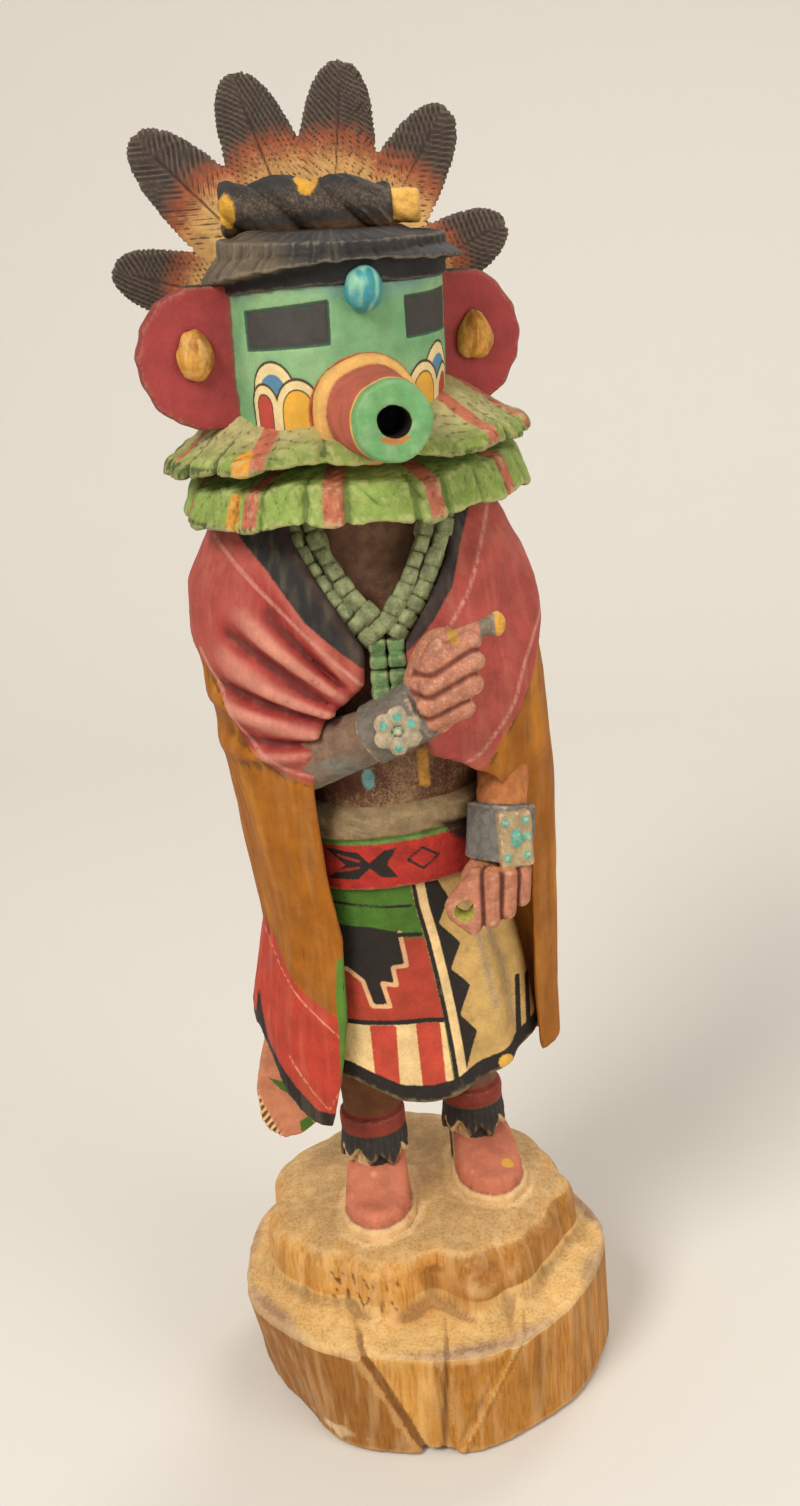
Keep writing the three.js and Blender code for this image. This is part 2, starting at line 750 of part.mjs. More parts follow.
/** One feather pointing along +X from the fan's centre, with a blunt worn tip. */
function feather({ reach, width }) {
  const half = width / 2;
  const shape = outline([
    [0, -half * 0.6], [reach * 0.5, -half * 0.92], [reach * 0.7, -half], [reach * 0.87, -half * 0.8],
    [reach * 0.96, -half * 0.45], [reach, -half * 0.1], [reach * 0.985, half * 0.3],
    [reach * 0.9, half * 0.75], [reach * 0.72, half], [reach * 0.5, half * 0.92], [0, half * 0.6],
  ]);
  return slab(shape, 0, FAN.thickness);
}

function featherFan() {
  const hub = new THREE.CylinderGeometry(FAN.hub, FAN.hub, FAN.thickness, 18);
  hub.translate(0, FAN.thickness / 2, 0);
  return join([
    solid(hub),
    ...FEATHERS.map((spec) => solid(feather(spec)).rotate([0, -spec.angle, 0])),
  ]);
}

// ---- Assembly ---------------------------------------------------------------------------------

const doll = new THREE.Group();
doll.add(meshOf('carved_figure', carvedFigure(), FINISHES.carving));
doll.add(meshOf('twist_roll', twistRoll(), FINISHES.roll));

const head = new THREE.Group();
head.position.set(HEAD.x, HEAD.y, HEAD.chin);
head.rotation.set(0, radians(HEAD.tilt), radians(HEAD.turn), 'ZYX');
head.add(meshOf('snout', snout(), FINISHES.snout));
head.add(meshOf('forehead_bead', foreheadBead(), FINISHES.bead));
head.add(meshOf('ear_knob_left', earKnob(-1), FINISHES.knob));
head.add(meshOf('ear_knob_right', earKnob(1), FINISHES.knob));
doll.add(head);

const fan = meshOf('feather_fan', featherFan(), FINISHES.feathers);
fan.position.set(FAN.x, FAN.y, FAN.z);
doll.add(fan);

// The origin is the middle of the underside.
const part = new THREE.Group();
part.add(doll);
part.updateMatrixWorld(true);
const bounds = new THREE.Box3().setFromObject(part);
const middle = bounds.getCenter(new THREE.Vector3());
doll.position.set(-middle.x, -middle.y, -bounds.min.z);

export default part;
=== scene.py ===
"""A carved and painted kachina doll on its log base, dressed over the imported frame."""

import logging
import math
from dataclasses import dataclass, field
from enum import Enum

import bpy
import numpy as np
from mathutils import Matrix, Vector


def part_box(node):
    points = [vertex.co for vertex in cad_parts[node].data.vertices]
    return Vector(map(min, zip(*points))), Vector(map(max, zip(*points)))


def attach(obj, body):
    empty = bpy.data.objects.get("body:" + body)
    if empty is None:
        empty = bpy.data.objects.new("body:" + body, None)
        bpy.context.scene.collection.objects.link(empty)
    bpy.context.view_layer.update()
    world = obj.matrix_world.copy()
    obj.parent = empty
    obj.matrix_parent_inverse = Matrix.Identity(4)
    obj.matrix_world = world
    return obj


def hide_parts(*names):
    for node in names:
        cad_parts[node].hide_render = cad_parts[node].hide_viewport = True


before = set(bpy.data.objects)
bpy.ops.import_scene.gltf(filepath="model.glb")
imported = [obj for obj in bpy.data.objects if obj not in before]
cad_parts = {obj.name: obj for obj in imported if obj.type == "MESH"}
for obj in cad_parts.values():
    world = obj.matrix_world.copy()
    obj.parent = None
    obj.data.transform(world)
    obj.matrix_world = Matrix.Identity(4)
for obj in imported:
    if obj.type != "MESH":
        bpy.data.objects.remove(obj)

logging.basicConfig(level=logging.INFO, format="%(message)s")
log = logging.getLogger("kachina")

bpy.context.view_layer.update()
MM = 0.001
TAU = 2 * math.pi
FRONT = -math.pi / 2
COARSE = 1.0
ROLL_CENTRE_X = -3.5
FAN_FRONT_Y = 14.7

Array = np.ndarray
Points = tuple[Array, Array, Array]
Row = tuple[float, ...]
Corner = tuple[float, float]
Spot = tuple[float, float, float]
Finger = tuple[Spot, Spot, float]


# ---- Shape arithmetic, in millimetres -----------------------------------------------------------


def soft_min(a: Array, b: Array, radius: float) -> Array:
    """The union of two signed distances, with the joint rounded over radius."""
    share = np.clip(0.5 + 0.5 * (b - a) / radius, 0, 1)
    return b + (a - b) * share - radius * share * (1 - share)


def soft_max(a: Array, b: Array, radius: float) -> Array:
    """What two signed distances share, with the edge rounded over radius."""
    return -soft_min(-a, -b, radius)


def ramp(value: Array, low: float, high: float) -> Array:
    """A smooth rise from 0 at low to 1 at high."""
    share = np.clip((value - low) / (high - low), 0, 1)
    return share * share * (3 - 2 * share)


def bump(angle: Array, centre: float, half_width: float) -> Array:
    """A smooth bump of height 1 at the centre angle that fades to 0 at half_width."""
    away = np.arctan2(np.sin(angle - centre), np.cos(angle - centre)) / half_width
    return np.where(np.abs(away) < 1, 0.5 + 0.5 * np.cos(np.pi * away), 0)


def rod(p: Points, start: Spot, end: Spot, radius_start: float, radius_end: float) -> Array:
    """A rod with round ends between two points, tapering between two radii."""
    span = np.subtract(end, start)
    away = [c - s for c, s in zip(p, start)]
    share = sum(a * s for a, s in zip(away, span)) / float(span @ span)
    share = np.clip(share, 0, 1)
    gap = np.sqrt(sum((a - share * s) ** 2 for a, s in zip(away, span)))
    return gap - (radius_start + (radius_end - radius_start) * share)


def egg(p: Points, centre: Spot, radii: Spot) -> Array:
    """An ellipsoid."""
    scaled = [(c - m) / r for c, m, r in zip(p, centre, radii)]
    near = np.sqrt(sum(s * s for s in scaled))
    slope = np.sqrt(sum((s / r) ** 2 for s, r in zip(scaled, radii)))
    return near * (near - 1) / np.maximum(slope, 1e-6)


def brick(p: Points, centre: Spot, half: Spot, rounding: float) -> Array:
    """A rounded block."""
    past = [np.abs(c - m) - (h - rounding) for c, m, h in zip(p, centre, half)]
    outside = np.sqrt(sum(np.maximum(q, 0) ** 2 for q in past))
    inside = np.minimum(np.maximum(np.maximum(past[0], past[1]), past[2]), 0)
    return outside + inside - rounding


def loft(p: Points, rows: list[Row], power: float = 2.2, rounding: float = 1.5) -> Array:
    """A loft of squared-off ovals given as rows of [z, centreX, centreY, rx, ry]."""
    x, y, z = p
    table = np.array(rows, float)
    cx, cy, rx, ry = (np.interp(z, table[:, 0], table[:, column]) for column in range(1, 5))
    ratio = (np.abs((x - cx) / rx) ** power + np.abs((y - cy) / ry) ** power) ** (1 / power)
    side = (ratio - 1) * np.minimum(rx, ry)
    return soft_max(side, np.maximum(table[0, 0] - z, z - table[-1, 0]), rounding)


def outline(u: Array, v: Array, corners: list[Corner]) -> Array:
    """The signed distance to a closed outline, negative inside."""
    nearest = np.full(np.broadcast(u, v).shape, 1e9)
    inside = np.zeros(nearest.shape, bool)
    for (au, av), (bu, bv) in zip(corners, corners[1:] + corners[:1]):
        du, dv = bu - au, bv - av
        share = np.clip(((u - au) * du + (v - av) * dv) / (du * du + dv * dv), 0, 1)
        nearest = np.minimum(nearest, (u - au - share * du) ** 2 + (v - av - share * dv) ** 2)
        if dv:
            crossed = ((av > v) != (bv > v)) & (u < au + du * (v - av) / dv)
            inside ^= crossed
    return np.where(inside, -1, 1) * np.sqrt(nearest)


def line(u: Array, v: Array, corners: list[Corner], width: float) -> Array:
    """The signed distance to a painted line of a given width through some points."""
    nearest = np.full(np.broadcast(u, v).shape, 1e9)
    for (au, av), (bu, bv) in zip(corners, corners[1:]):
        du, dv = bu - au, bv - av
        share = np.clip(((u - au) * du + (v - av) * dv) / (du * du + dv * dv), 0, 1)
        nearest = np.minimum(nearest, (u - au - share * du) ** 2 + (v - av - share * dv) ** 2)
    return np.sqrt(nearest) - width / 2


def noise(p: Points, size: float | Spot, seed: int = 1) -> Array:
    """Smooth lumps from -1 to 1, about size across."""
    table = np.random.default_rng(seed).uniform(-1, 1, (32, 32, 32)).astype(np.float32)
    sizes = (size,) * 3 if np.isscalar(size) else size
    spots = [np.asarray(c / s + 64.37, np.float32) for c, s in zip(p, sizes)]
    cells = [np.floor(s).astype(np.int32) for s in spots]
    parts = [s - c for s, c in zip(spots, cells)]
    parts = [t * t * (3 - 2 * t) for t in parts]
    total = 0
    for corner in np.ndindex(2, 2, 2):
        share = 1
        for t, side in zip(parts, corner):
            share = share * (t if side else 1 - t)
        spot = tuple((c + side) % 32 for c, side in zip(cells, corner))
        total = total + share * table[spot]
    return total


def wound(angle: Array, radius: float, height: Array) -> Points:
    """Points round an upright cylinder, where noise is asked for so that it runs round a piece."""
    return np.cos(angle) * radius, np.sin(angle) * radius, height


def ridges(value: Array, pitch: float) -> Array:
    """Sharp-valleyed ridges from 0 to 1, one every pitch."""
    return np.abs(np.sin(np.pi * value / pitch))


def turn_matrix(axis: str, degrees: float) -> Array:
    """A turn about one axis as a 4 by 4 array."""
    return np.array(Matrix.Rotation(math.radians(degrees), 4, axis))


def shift_matrix(x: float, y: float, z: float) -> Array:
    """A move as a 4 by 4 array."""
    return np.array(Matrix.Translation((x, y, z)))


def along(start: Spot, end: Spot, roll: float = 0.0) -> Array:
    """The pose whose +Z runs from start towards end, with its own roll in degrees."""
    quat = Vector((0, 0, 1)).rotation_difference(Vector(end) - Vector(start))
    pose = Matrix.Translation(start) @ quat.to_matrix().to_4x4()
    return np.array(pose @ Matrix.Rotation(math.radians(roll), 4, "Z"))


def into(p: Points, pose: Array) -> Points:
    """The same points, measured in a pose's own frame."""
    back = np.linalg.inv(pose)
    return tuple(sum(back[i, j] * p[j] for j in range(3)) + back[i, 3] for i in range(3))


# ---- Carving: from a signed distance to a mesh --------------------------------------------------


CUBE = np.array(list(np.ndindex(2, 2, 2)))
CUBE_EDGES = [(a, b) for a in range(8) for b in range(a + 1, 8) if np.abs(CUBE[a] - CUBE[b]).sum() == 1]


def surface(values: Array, low: Array, step: float) -> tuple[Array, Array]:
    """The zero surface of a sampled field.

    Args:
        values: Signed distances on a grid, negative inside and positive at its border.
        low: The grid's lowest corner.
        step: The grid's spacing.

    Returns:
        The points, and the four corners of each face, facing outwards.
    """
    inside = values < 0
    size = np.array(values.shape) - 1
    corners = [inside[i:i + size[0], j:j + size[1], k:k + size[2]] for i, j, k in CUBE]
    count = sum(c.astype(np.int8) for c in corners)
    cells = np.argwhere((count > 0) & (count < 8))
    index = np.full(size, -1, np.int32)
    index[tuple(cells.T)] = np.arange(len(cells))
    at = [values[tuple((cells + c).T)] for c in CUBE]
    total = np.zeros((len(cells), 3))
    hits = np.zeros(len(cells))
    for a, b in CUBE_EDGES:
        crossed = (at[a] < 0) != (at[b] < 0)
        share = np.where(crossed, at[a] / np.where(crossed, at[a] - at[b], 1), 0)
        total += np.where(crossed[:, None], CUBE[a] + share[:, None] * (CUBE[b] - CUBE[a]), 0)
        hits += crossed
    points = low + step * (cells + total / hits[:, None])
    faces = []
    for axis in range(3):
        other = [(axis + 1) % 3, (axis + 2) % 3]
        first = [slice(None)] * 3
        second = [slice(None)] * 3
        first[axis], second[axis] = slice(0, -1), slice(1, None)
        edges = np.argwhere(inside[tuple(first)] != inside[tuple(second)])
        edges = edges[(edges[:, other] > 0).all(1) & (edges[:, other] < size[other]).all(1)]
        ring = []
        for du, dv in ((1, 1), (0, 1), (0, 0), (1, 0)):
            spot = edges.copy()
            spot[:, other[0]] -= du
            spot[:, other[1]] -= dv
            ring.append(index[tuple(spot.T)])
        quad = np.stack(ring, 1)
        outward = inside[tuple(edges.T)]
        faces.append(np.where(outward[:, None], quad, quad[:, ::-1]))
    return points, np.concatenate(faces)


def neighbour_mean(points: Array, faces: Array) -> Array:
    """The mean of each point's neighbours."""
    total = np.zeros_like(points)
    hits = np.zeros(len(points))
    for a, b in ((0, 1), (1, 2), (2, 3), (3, 0)):
        hits += np.bincount(faces[:, a], minlength=len(points))
        for axis in range(points.shape[1]):
            total[:, axis] += np.bincount(faces[:, a], points[faces[:, b], axis], len(points))
    return total / np.maximum(hits, 1)[:, None]


@dataclass(frozen=True)
class Coat:
    """One brushed colour, laid where its distance is negative.

    Args:
        name: The coat's name, which its mesh attribute carries too.
        colour: The paint, as #rrggbb.
        where: A signed distance at every point of the piece.
        wobble: How far the brushed edge wanders.
        soft: How far the edge fades.
    """

    name: str
    colour: str
    where: Array
    wobble: float = 0.25
    soft: float = 0.16


@dataclass(frozen=True)
class Finish:
    """How a surface is painted and worn, with painted highlight on high spots and painted shade in hollows.

    Args:
        base: The colour under every coat, as #rrggbb.
        worn: What shows on high spots: worn paint with a painted highlight.
        grime_and_shade: What settles in the hollows, with painted shade there.
        wear_and_highlight: How strongly high spots show worn paint and a painted highlight, from 0 to 1.
        dirt_and_shade: How dark hollows go from soiling and painted shade, from 0 to 1.
        mottle: How uneven the colour is.
        patch: The size of an uneven patch, in millimetres.
        grain: How strongly wood grain shows.
        stretch: How many times longer the grain is along Z.
        rough: The shader's roughness.
        tooth: The depth of the surface's fine texture, in millimetres.
    """

    base: str
    # worn and the three fields after it colour high spots with worn paint and a painted highlight, and
    # hollows with soiling and painted shade.
    worn: str = "#c9a070"
    grime_and_shade: str = "#2c1d14"
    wear_and_highlight: float = 0.35
    dirt_and_shade: float = 0.55
    mottle: float = 0.16
    patch: float = 5.0
    grain: float = 0.0
    stretch: float = 9.0
    rough: float = 0.72
    tooth: float = 0.12


class Tint(str, Enum):
    """The paints on the carver's palette."""

    BLACK = "#241d19"
    SOOT = "#33302c"
    CREAM = "#e0be85"
    GREEN = "#43691f"
    TURQUOISE = "#58a08c"
    GREY = "#6d655a"


def linear(colour: str, alpha: float = 1.0) -> tuple[float, float, float, float]:
    """A #rrggbb colour as linear light."""
    parts = [int(colour[i:i + 2], 16) / 255 for i in (1, 3, 5)]
    light = [c / 12.92 if c <= 0.04045 else ((c + 0.055) / 1.055) ** 2.4 for c in parts]
    return (*light, alpha)


# ---- Shader groups ------------------------------------------------------------------------------


class Tree:
    """A node tree that is written one node at a time."""

    def __init__(self, tree: bpy.types.NodeTree) -> None:
        """Starts from an empty tree."""
        tree.nodes.clear()
        self.tree = tree

    def add(self, kind: str, inputs: dict | None = None, **settings: object) -> bpy.types.Node:
        """Adds a node, sets it, and links or fills its inputs."""
        node = self.tree.nodes.new(kind)
        for key, value in settings.items():
            setattr(node, key, value)
        for key, value in (inputs or {}).items():
            if isinstance(value, bpy.types.NodeSocket):
                self.tree.links.new(value, node.inputs[key])
            else:
                node.inputs[key].default_value = value
        return node

    def math(self, operation: str, a: object, b: object = 0.0, clamp: bool = False) -> bpy.types.NodeSocket:
        """A sum of two numbers."""
        node = self.add("ShaderNodeMath", {0: a, 1: b}, operation=operation, use_clamp=clamp)
        return node.outputs[0]

    def mix(self, share: object, a: object, b: object, blend: str = "MIX") -> bpy.types.NodeSocket:
        """A mix of two colours."""
        node = self.add("ShaderNodeMix", {0: share, 6: a, 7: b}, data_type="RGBA", blend_type=blend)
        return node.outputs[2]

    def rise(self, value: object, low: object, high: object,
        to: tuple[float, float] = (0, 1)) -> bpy.types.NodeSocket:
        """A smooth rise between two values."""
        node = self.add(
            "ShaderNodeMapRange",
            {"Value": value, "From Min": low, "From Max": high, "To Min": to[0], "To Max": to[1]},
            interpolation_type="SMOOTHSTEP",
        )
        return node.outputs[0]


class Effects:
    """The shader groups every finish shares, each built once."""

    @staticmethod
    def start(name: str, inputs: dict[str, str], outputs: dict[str, str]) -> tuple[Tree, dict, dict]:
        """Makes an empty group and returns its tree, its inputs and its output sockets' node."""
        group = bpy.data.node_groups.new(name, "ShaderNodeTree")
        tree = Tree(group)
        for label, kind in inputs.items():
            group.interface.new_socket(label, in_out="INPUT", socket_type=f"NodeSocket{kind}")
        for label, kind in outputs.items():
            group.interface.new_socket(label, in_out="OUTPUT", socket_type=f"NodeSocket{kind}")
        source = tree.add("NodeGroupInput").outputs
        return tree, source, tree.add("NodeGroupOutput").inputs

    @staticmethod
    def brushed() -> bpy.types.NodeTree:
        """A coat laid over a colour inside a wandering, slightly soft edge."""
        tree, given, out = Effects.start(
            "brushed_coat",
            {"Under": "Color", "Coat": "Color", "Distance": "Float", "Wander": "Float", "Wobble": "Float",
                "Soft": "Float"},
            {"Colour": "Color"},
        )
        shifted = tree.math("ADD", given["Distance"], tree.math("MULTIPLY", given["Wander"], given["Wobble"]))
        inner = tree.math("MULTIPLY", given["Soft"], -1.0)
        cover = tree.rise(shifted, given["Soft"], inner)
        tree.tree.links.new(tree.mix(cover, given["Under"], given["Coat"]), out["Colour"])
        return tree.tree

    @staticmethod
    def worn_soiled_and_shaded() -> bpy.types.NodeTree:
        """Lighter high spots and darker hollows from the stored relief: worn paint with painted highlight,
        and soiling with painted shade.
        """
        tree, given, out = Effects.start(
            "worn_soiled_and_shaded",
            {"Colour": "Color", "WornAndHighlight": "Color", "GrimeAndShade": "Color", "Relief": "Float", "Speckle": "Float",
             "WearAndHighlight": "Float", "DirtAndShade": "Float"},
            {"Colour": "Color"},
        )
        uneven = tree.math("MULTIPLY", given["Speckle"], 0.10)
        high = tree.rise(tree.math("ADD", given["Relief"], uneven), 0.07, 0.26)
        low = tree.rise(tree.math("SUBTRACT", given["Relief"], uneven), -0.02, -0.22)
        rubbed_and_highlit = tree.mix(tree.math("MULTIPLY", high, given["WearAndHighlight"]), given["Colour"], given["WornAndHighlight"])
        soiled_and_shaded = tree.mix(tree.math("MULTIPLY", low, given["DirtAndShade"]), rubbed_and_highlit, given["GrimeAndShade"])
        tree.tree.links.new(soiled_and_shaded, out["Colour"])
        return tree.tree

    @staticmethod
    def grained() -> bpy.types.NodeTree:
        """Wood grain: long fibres and streaks that run along Z."""
        tree, given, out = Effects.start(
            "wood_grain",
            {"Place": "Vector", "Colour": "Color", "Strength": "Float"},
            {"Colour": "Color", "Height": "Float"},
        )
        fibre = tree.add("ShaderNodeTexNoise", {"Vector": given["Place"], "Scale": 1.1, "Detail": 3.0,
            "Roughness": 0.6})
        streak = tree.add("ShaderNodeTexNoise", {"Vector": given["Place"], "Scale": 0.28, "Detail": 2.0,
            "Roughness": 0.5})
        dark = tree.mix(1.0, given["Colour"], (0.52, 0.36, 0.24, 1), "MULTIPLY")
        light = tree.mix(0.28, given["Colour"], (0.95, 0.72, 0.40, 1))
        share = tree.rise(fibre.outputs[0], 0.42, 0.68)
        wide = tree.rise(streak.outputs[0], 0.46, 0.66)
        shaded = tree.mix(tree.math("MULTIPLY", share, given["Strength"]), given["Colour"], dark)
        final = tree.mix(tree.math("MULTIPLY", wide, given["Strength"]), shaded, light)
        tree.tree.links.new(final, out["Colour"])
        tree.tree.links.new(fibre.outputs[0], out["Height"])
        return tree.tree


class Painter:
    """Turns finishes and coats into materials."""

    def __init__(self) -> None:
        """Builds the shared groups."""
        self.brushed = Effects.brushed()
        self.worn_soiled_and_shaded = Effects.worn_soiled_and_shaded()
        self.grained = Effects.grained()

    def material(self, name: str, finish: Finish, coats: list[Coat]) -> bpy.types.Material:
        """A material for one piece.

        Args:
            name: The material's name.
            finish: The piece's finish.
            coats: Its brushed colours, the first laid first.

        Returns:
            The material, which reads the coats' distances from the mesh.
        """
        made = bpy.data.materials.new(name)
        made.use_nodes = True
        tree = Tree(made.node_tree)
        place = tree.add("ShaderNodeTexCoord").outputs["Object"]
        place = tree.add("ShaderNodeVectorMath", {0: place, 1: (1000, 1000, 1000)},
            operation="MULTIPLY").outputs[0]
        long = tree.add(
            "ShaderNodeVectorMath", {0: place, 1: (1, 1, 1 / finish.stretch)}, operation="MULTIPLY"
        ).outputs[0]
        fine = tree.add("ShaderNodeTexNoise", {"Vector": place, "Scale": 1.3, "Detail": 3.0,
            "Roughness": 0.65}).outputs[0]
        patch = tree.add(
            "ShaderNodeTexNoise", {"Vector": place, "Scale": 1 / finish.patch, "Detail": 3.0,
                "Roughness": 0.6}
        ).outputs[0]
        wander = tree.math("MULTIPLY_ADD", fine, 2.0)
        wander.node.inputs[2].default_value = -1.0
        colour = None
        for coat in coats:
            distance = tree.add("ShaderNodeAttribute", attribute_name=f"coat_{coat.name}").outputs["Fac"]
            laid = tree.add("ShaderNodeGroup", node_tree=self.brushed)
            under = colour or linear(finish.base)
            for key, value in (
                ("Under", under), ("Coat", linear(coat.colour)), ("Distance", distance),
                ("Wander", wander), ("Wobble", coat.wobble), ("Soft", coat.soft),
            ):
                if isinstance(value, bpy.types.NodeSocket):
                    tree.tree.links.new(value, laid.inputs[key])
                else:
                    laid.inputs[key].default_value = value
            colour = laid.outputs[0]
        grained = tree.add("ShaderNodeGroup", node_tree=self.grained)
        tree.tree.links.new(long, grained.inputs["Place"])
        if colour is None:
            grained.inputs["Colour"].default_value = linear(finish.base)
        else:
            tree.tree.links.new(colour, grained.inputs["Colour"])
        grained.inputs["Strength"].default_value = finish.grain
        shade = tree.rise(patch, 0.3, 0.7, (1 - finish.mottle, 1 + finish.mottle))
        grit = tree.rise(fine, 0.25, 0.75, (1 - finish.mottle * 0.6, 1 + finish.mottle * 0.6))
        tone = tree.math("MULTIPLY", shade, grit)
        toned = tree.add(
            "ShaderNodeVectorMath", {0: grained.outputs["Colour"], 1: tone}, operation="MULTIPLY"
        ).outputs[0]
        # The stored relief lightens high spots with worn paint and painted highlight, and darkens hollows
        # with soiling and painted shade.
        relief = tree.add("ShaderNodeAttribute", attribute_name="relief").outputs["Fac"]
        aged_and_shaded = tree.add("ShaderNodeGroup", node_tree=self.worn_soiled_and_shaded)
        for key, value in (("Colour", toned), ("Relief", relief), ("Speckle", wander)):
            tree.tree.links.new(value, aged_and_shaded.inputs[key])
        aged_and_shaded.inputs["WornAndHighlight"].default_value = linear(finish.worn)
        aged_and_shaded.inputs["GrimeAndShade"].default_value = linear(finish.grime_and_shade)
        aged_and_shaded.inputs["WearAndHighlight"].default_value = finish.wear_and_highlight
        aged_and_shaded.inputs["DirtAndShade"].default_value = finish.dirt_and_shade
        height = tree.math("ADD", fine, tree.math("MULTIPLY", grained.outputs["Height"], finish.grain * 1.5))
        lifted = tree.add("ShaderNodeBump", {"Height": height, "Distance": finish.tooth * MM,
            "Strength": 1.0})
        shader = tree.add(
            "ShaderNodeBsdfPrincipled",
            {"Base Color": aged_and_shaded.outputs[0], "Roughness": finish.rough, "Normal": lifted.outputs[0]},
        )
        shader.inputs["Specular IOR Level"].default_value = 0.3
        tree.add("ShaderNodeOutputMaterial", {"Surface": shader.outputs[0]})
        return made


PAINTER = Painter()


def frame_shift() -> Array:
    """Where the figure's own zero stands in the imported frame, in millimetres."""
    roll_low, roll_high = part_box("twist_roll")
    fan_low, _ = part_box("feather_fan")
    x = (roll_low.x + roll_high.x) / 2 / MM - ROLL_CENTRE_X
    return np.array([x, fan_low.y / MM - FAN_FRONT_Y, 0.0])


SHIFT = frame_shift()


@dataclass
class Piece:
    """One carved piece: a field of signed distances, its tool marks and its paint.

    Args:
        name: The piece's name.
        low: The lowest corner of its room, in its own frame.
        high: The highest corner of its room.
        step: The spacing of its samples.
        finish: Its finish.
        nodes: The CAD nodes that it stands for.
        slot: The record's material slot. It is not used.
        pose: Its own frame within the figure's.
        relax: How many times its points are eased towards their neighbours.
    """

    name: str
    low: Spot
    high: Spot
    step: float
    finish: Finish
    nodes: tuple[str, ...] = ()
    slot: str = "carving"
    pose: Array = field(default_factory=lambda: np.eye(4))
    relax: int = 1

    def shape(self, p: Points) -> Array:
        """The piece's signed distance."""
        raise NotImplementedError

    def marks(self, p: Points) -> Array:
        """How far tool marks lift each point along its normal."""
        return 0.12 * noise(p, 2.2, 3) + 0.08 * noise(p, 0.9, 4)

    def coats(self, p: Points) -> list[Coat]:
        """The piece's brushed colours."""
        return []

    def build(self) -> bpy.types.Object:
        """Carves, marks and paints the piece.

        Returns:
            The finished object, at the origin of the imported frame.
        """
        step = self.step * COARSE
        low = np.array(self.low) - 2 * step
        counts = np.ceil((np.array(self.high) - low) / step).astype(int) + 3
        axes = [low[i] + step * np.arange(counts[i]) for i in range(3)]
        grid = np.meshgrid(*axes, indexing="ij", sparse=True)
        values = np.array(np.broadcast_to(self.shape(tuple(grid)), counts), np.float32)
        for axis in range(3):
            edge = [slice(None)] * 3
            for side in (0, -1):
                edge[axis] = side
                values[tuple(edge)] = 1.0
        points, faces = surface(values, low, step)
        for _ in range(self.relax):
            points += 0.5 * (neighbour_mean(points, faces) - points)
        mesh = self.mesh(points, faces)
        normals = self.normals(mesh)
        points = points + self.marks(tuple(points.T))[:, None] * normals
        smooth = points.copy()
        for _ in range(5):
            smooth += 0.6 * (neighbour_mean(smooth, faces) - smooth)
        # The relief marks high spots for worn paint and painted highlight, and hollows for soiling and
        # painted shade.
        relief = ((points - smooth) * normals).sum(1)
        coats = self.coats(tuple(points.T))
        placed = points @ self.pose[:3, :3].T + self.pose[:3, 3]
        mesh.vertices.foreach_set("co", ((placed + SHIFT) * MM).astype(np.float32).ravel())
        self.store(mesh, "relief", relief)
        for coat in coats:
            self.store(mesh, f"coat_{coat.name}", coat.where)
        mesh.update()
        mesh.materials.append(PAINTER.material(f"{self.name}_finish", self.finish, coats))
        made = bpy.data.objects.new(self.name, mesh)
        bpy.context.scene.collection.objects.link(made)
        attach(made, "root")
        if self.nodes:
            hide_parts(*self.nodes)
        log.info("%s: %d faces", self.name, 2 * len(faces))
        return made

    def mesh(self, points: Array, faces: Array) -> bpy.types.Mesh:
        """A smooth-shaded mesh of four-sided faces."""
        mesh = bpy.data.meshes.new(self.name)
        mesh.vertices.add(len(points))
        mesh.vertices.foreach_set("co", points.astype(np.float32).ravel())
        mesh.loops.add(faces.size)
        mesh.loops.foreach_set("vertex_index", faces.astype(np.int32).ravel())
        mesh.polygons.add(len(faces))
        mesh.polygons.foreach_set("loop_start", np.arange(0, faces.size, 4, dtype=np.int32))
        mesh.update(calc_edges=True)
        mesh.shade_smooth()
        return mesh

    @staticmethod
    def normals(mesh: bpy.types.Mesh) -> Array:
        """The normal at each point."""
        flat = np.zeros(3 * len(mesh.vertices), np.float32)
        mesh.vertices.foreach_get("normal", flat)
        return flat.reshape(-1, 3).astype(float)

    @staticmethod
    def store(mesh: bpy.types.Mesh, label: str, values: Array) -> None:
        """Writes one number per point."""
        given = np.broadcast_to(values, len(mesh.vertices)).astype(np.float32)
        mesh.attributes.new(label, "FLOAT", "POINT").data.foreach_set("value", np.ascontiguousarray(given))


# ---- Log base -----------------------------------------------------------------------------------


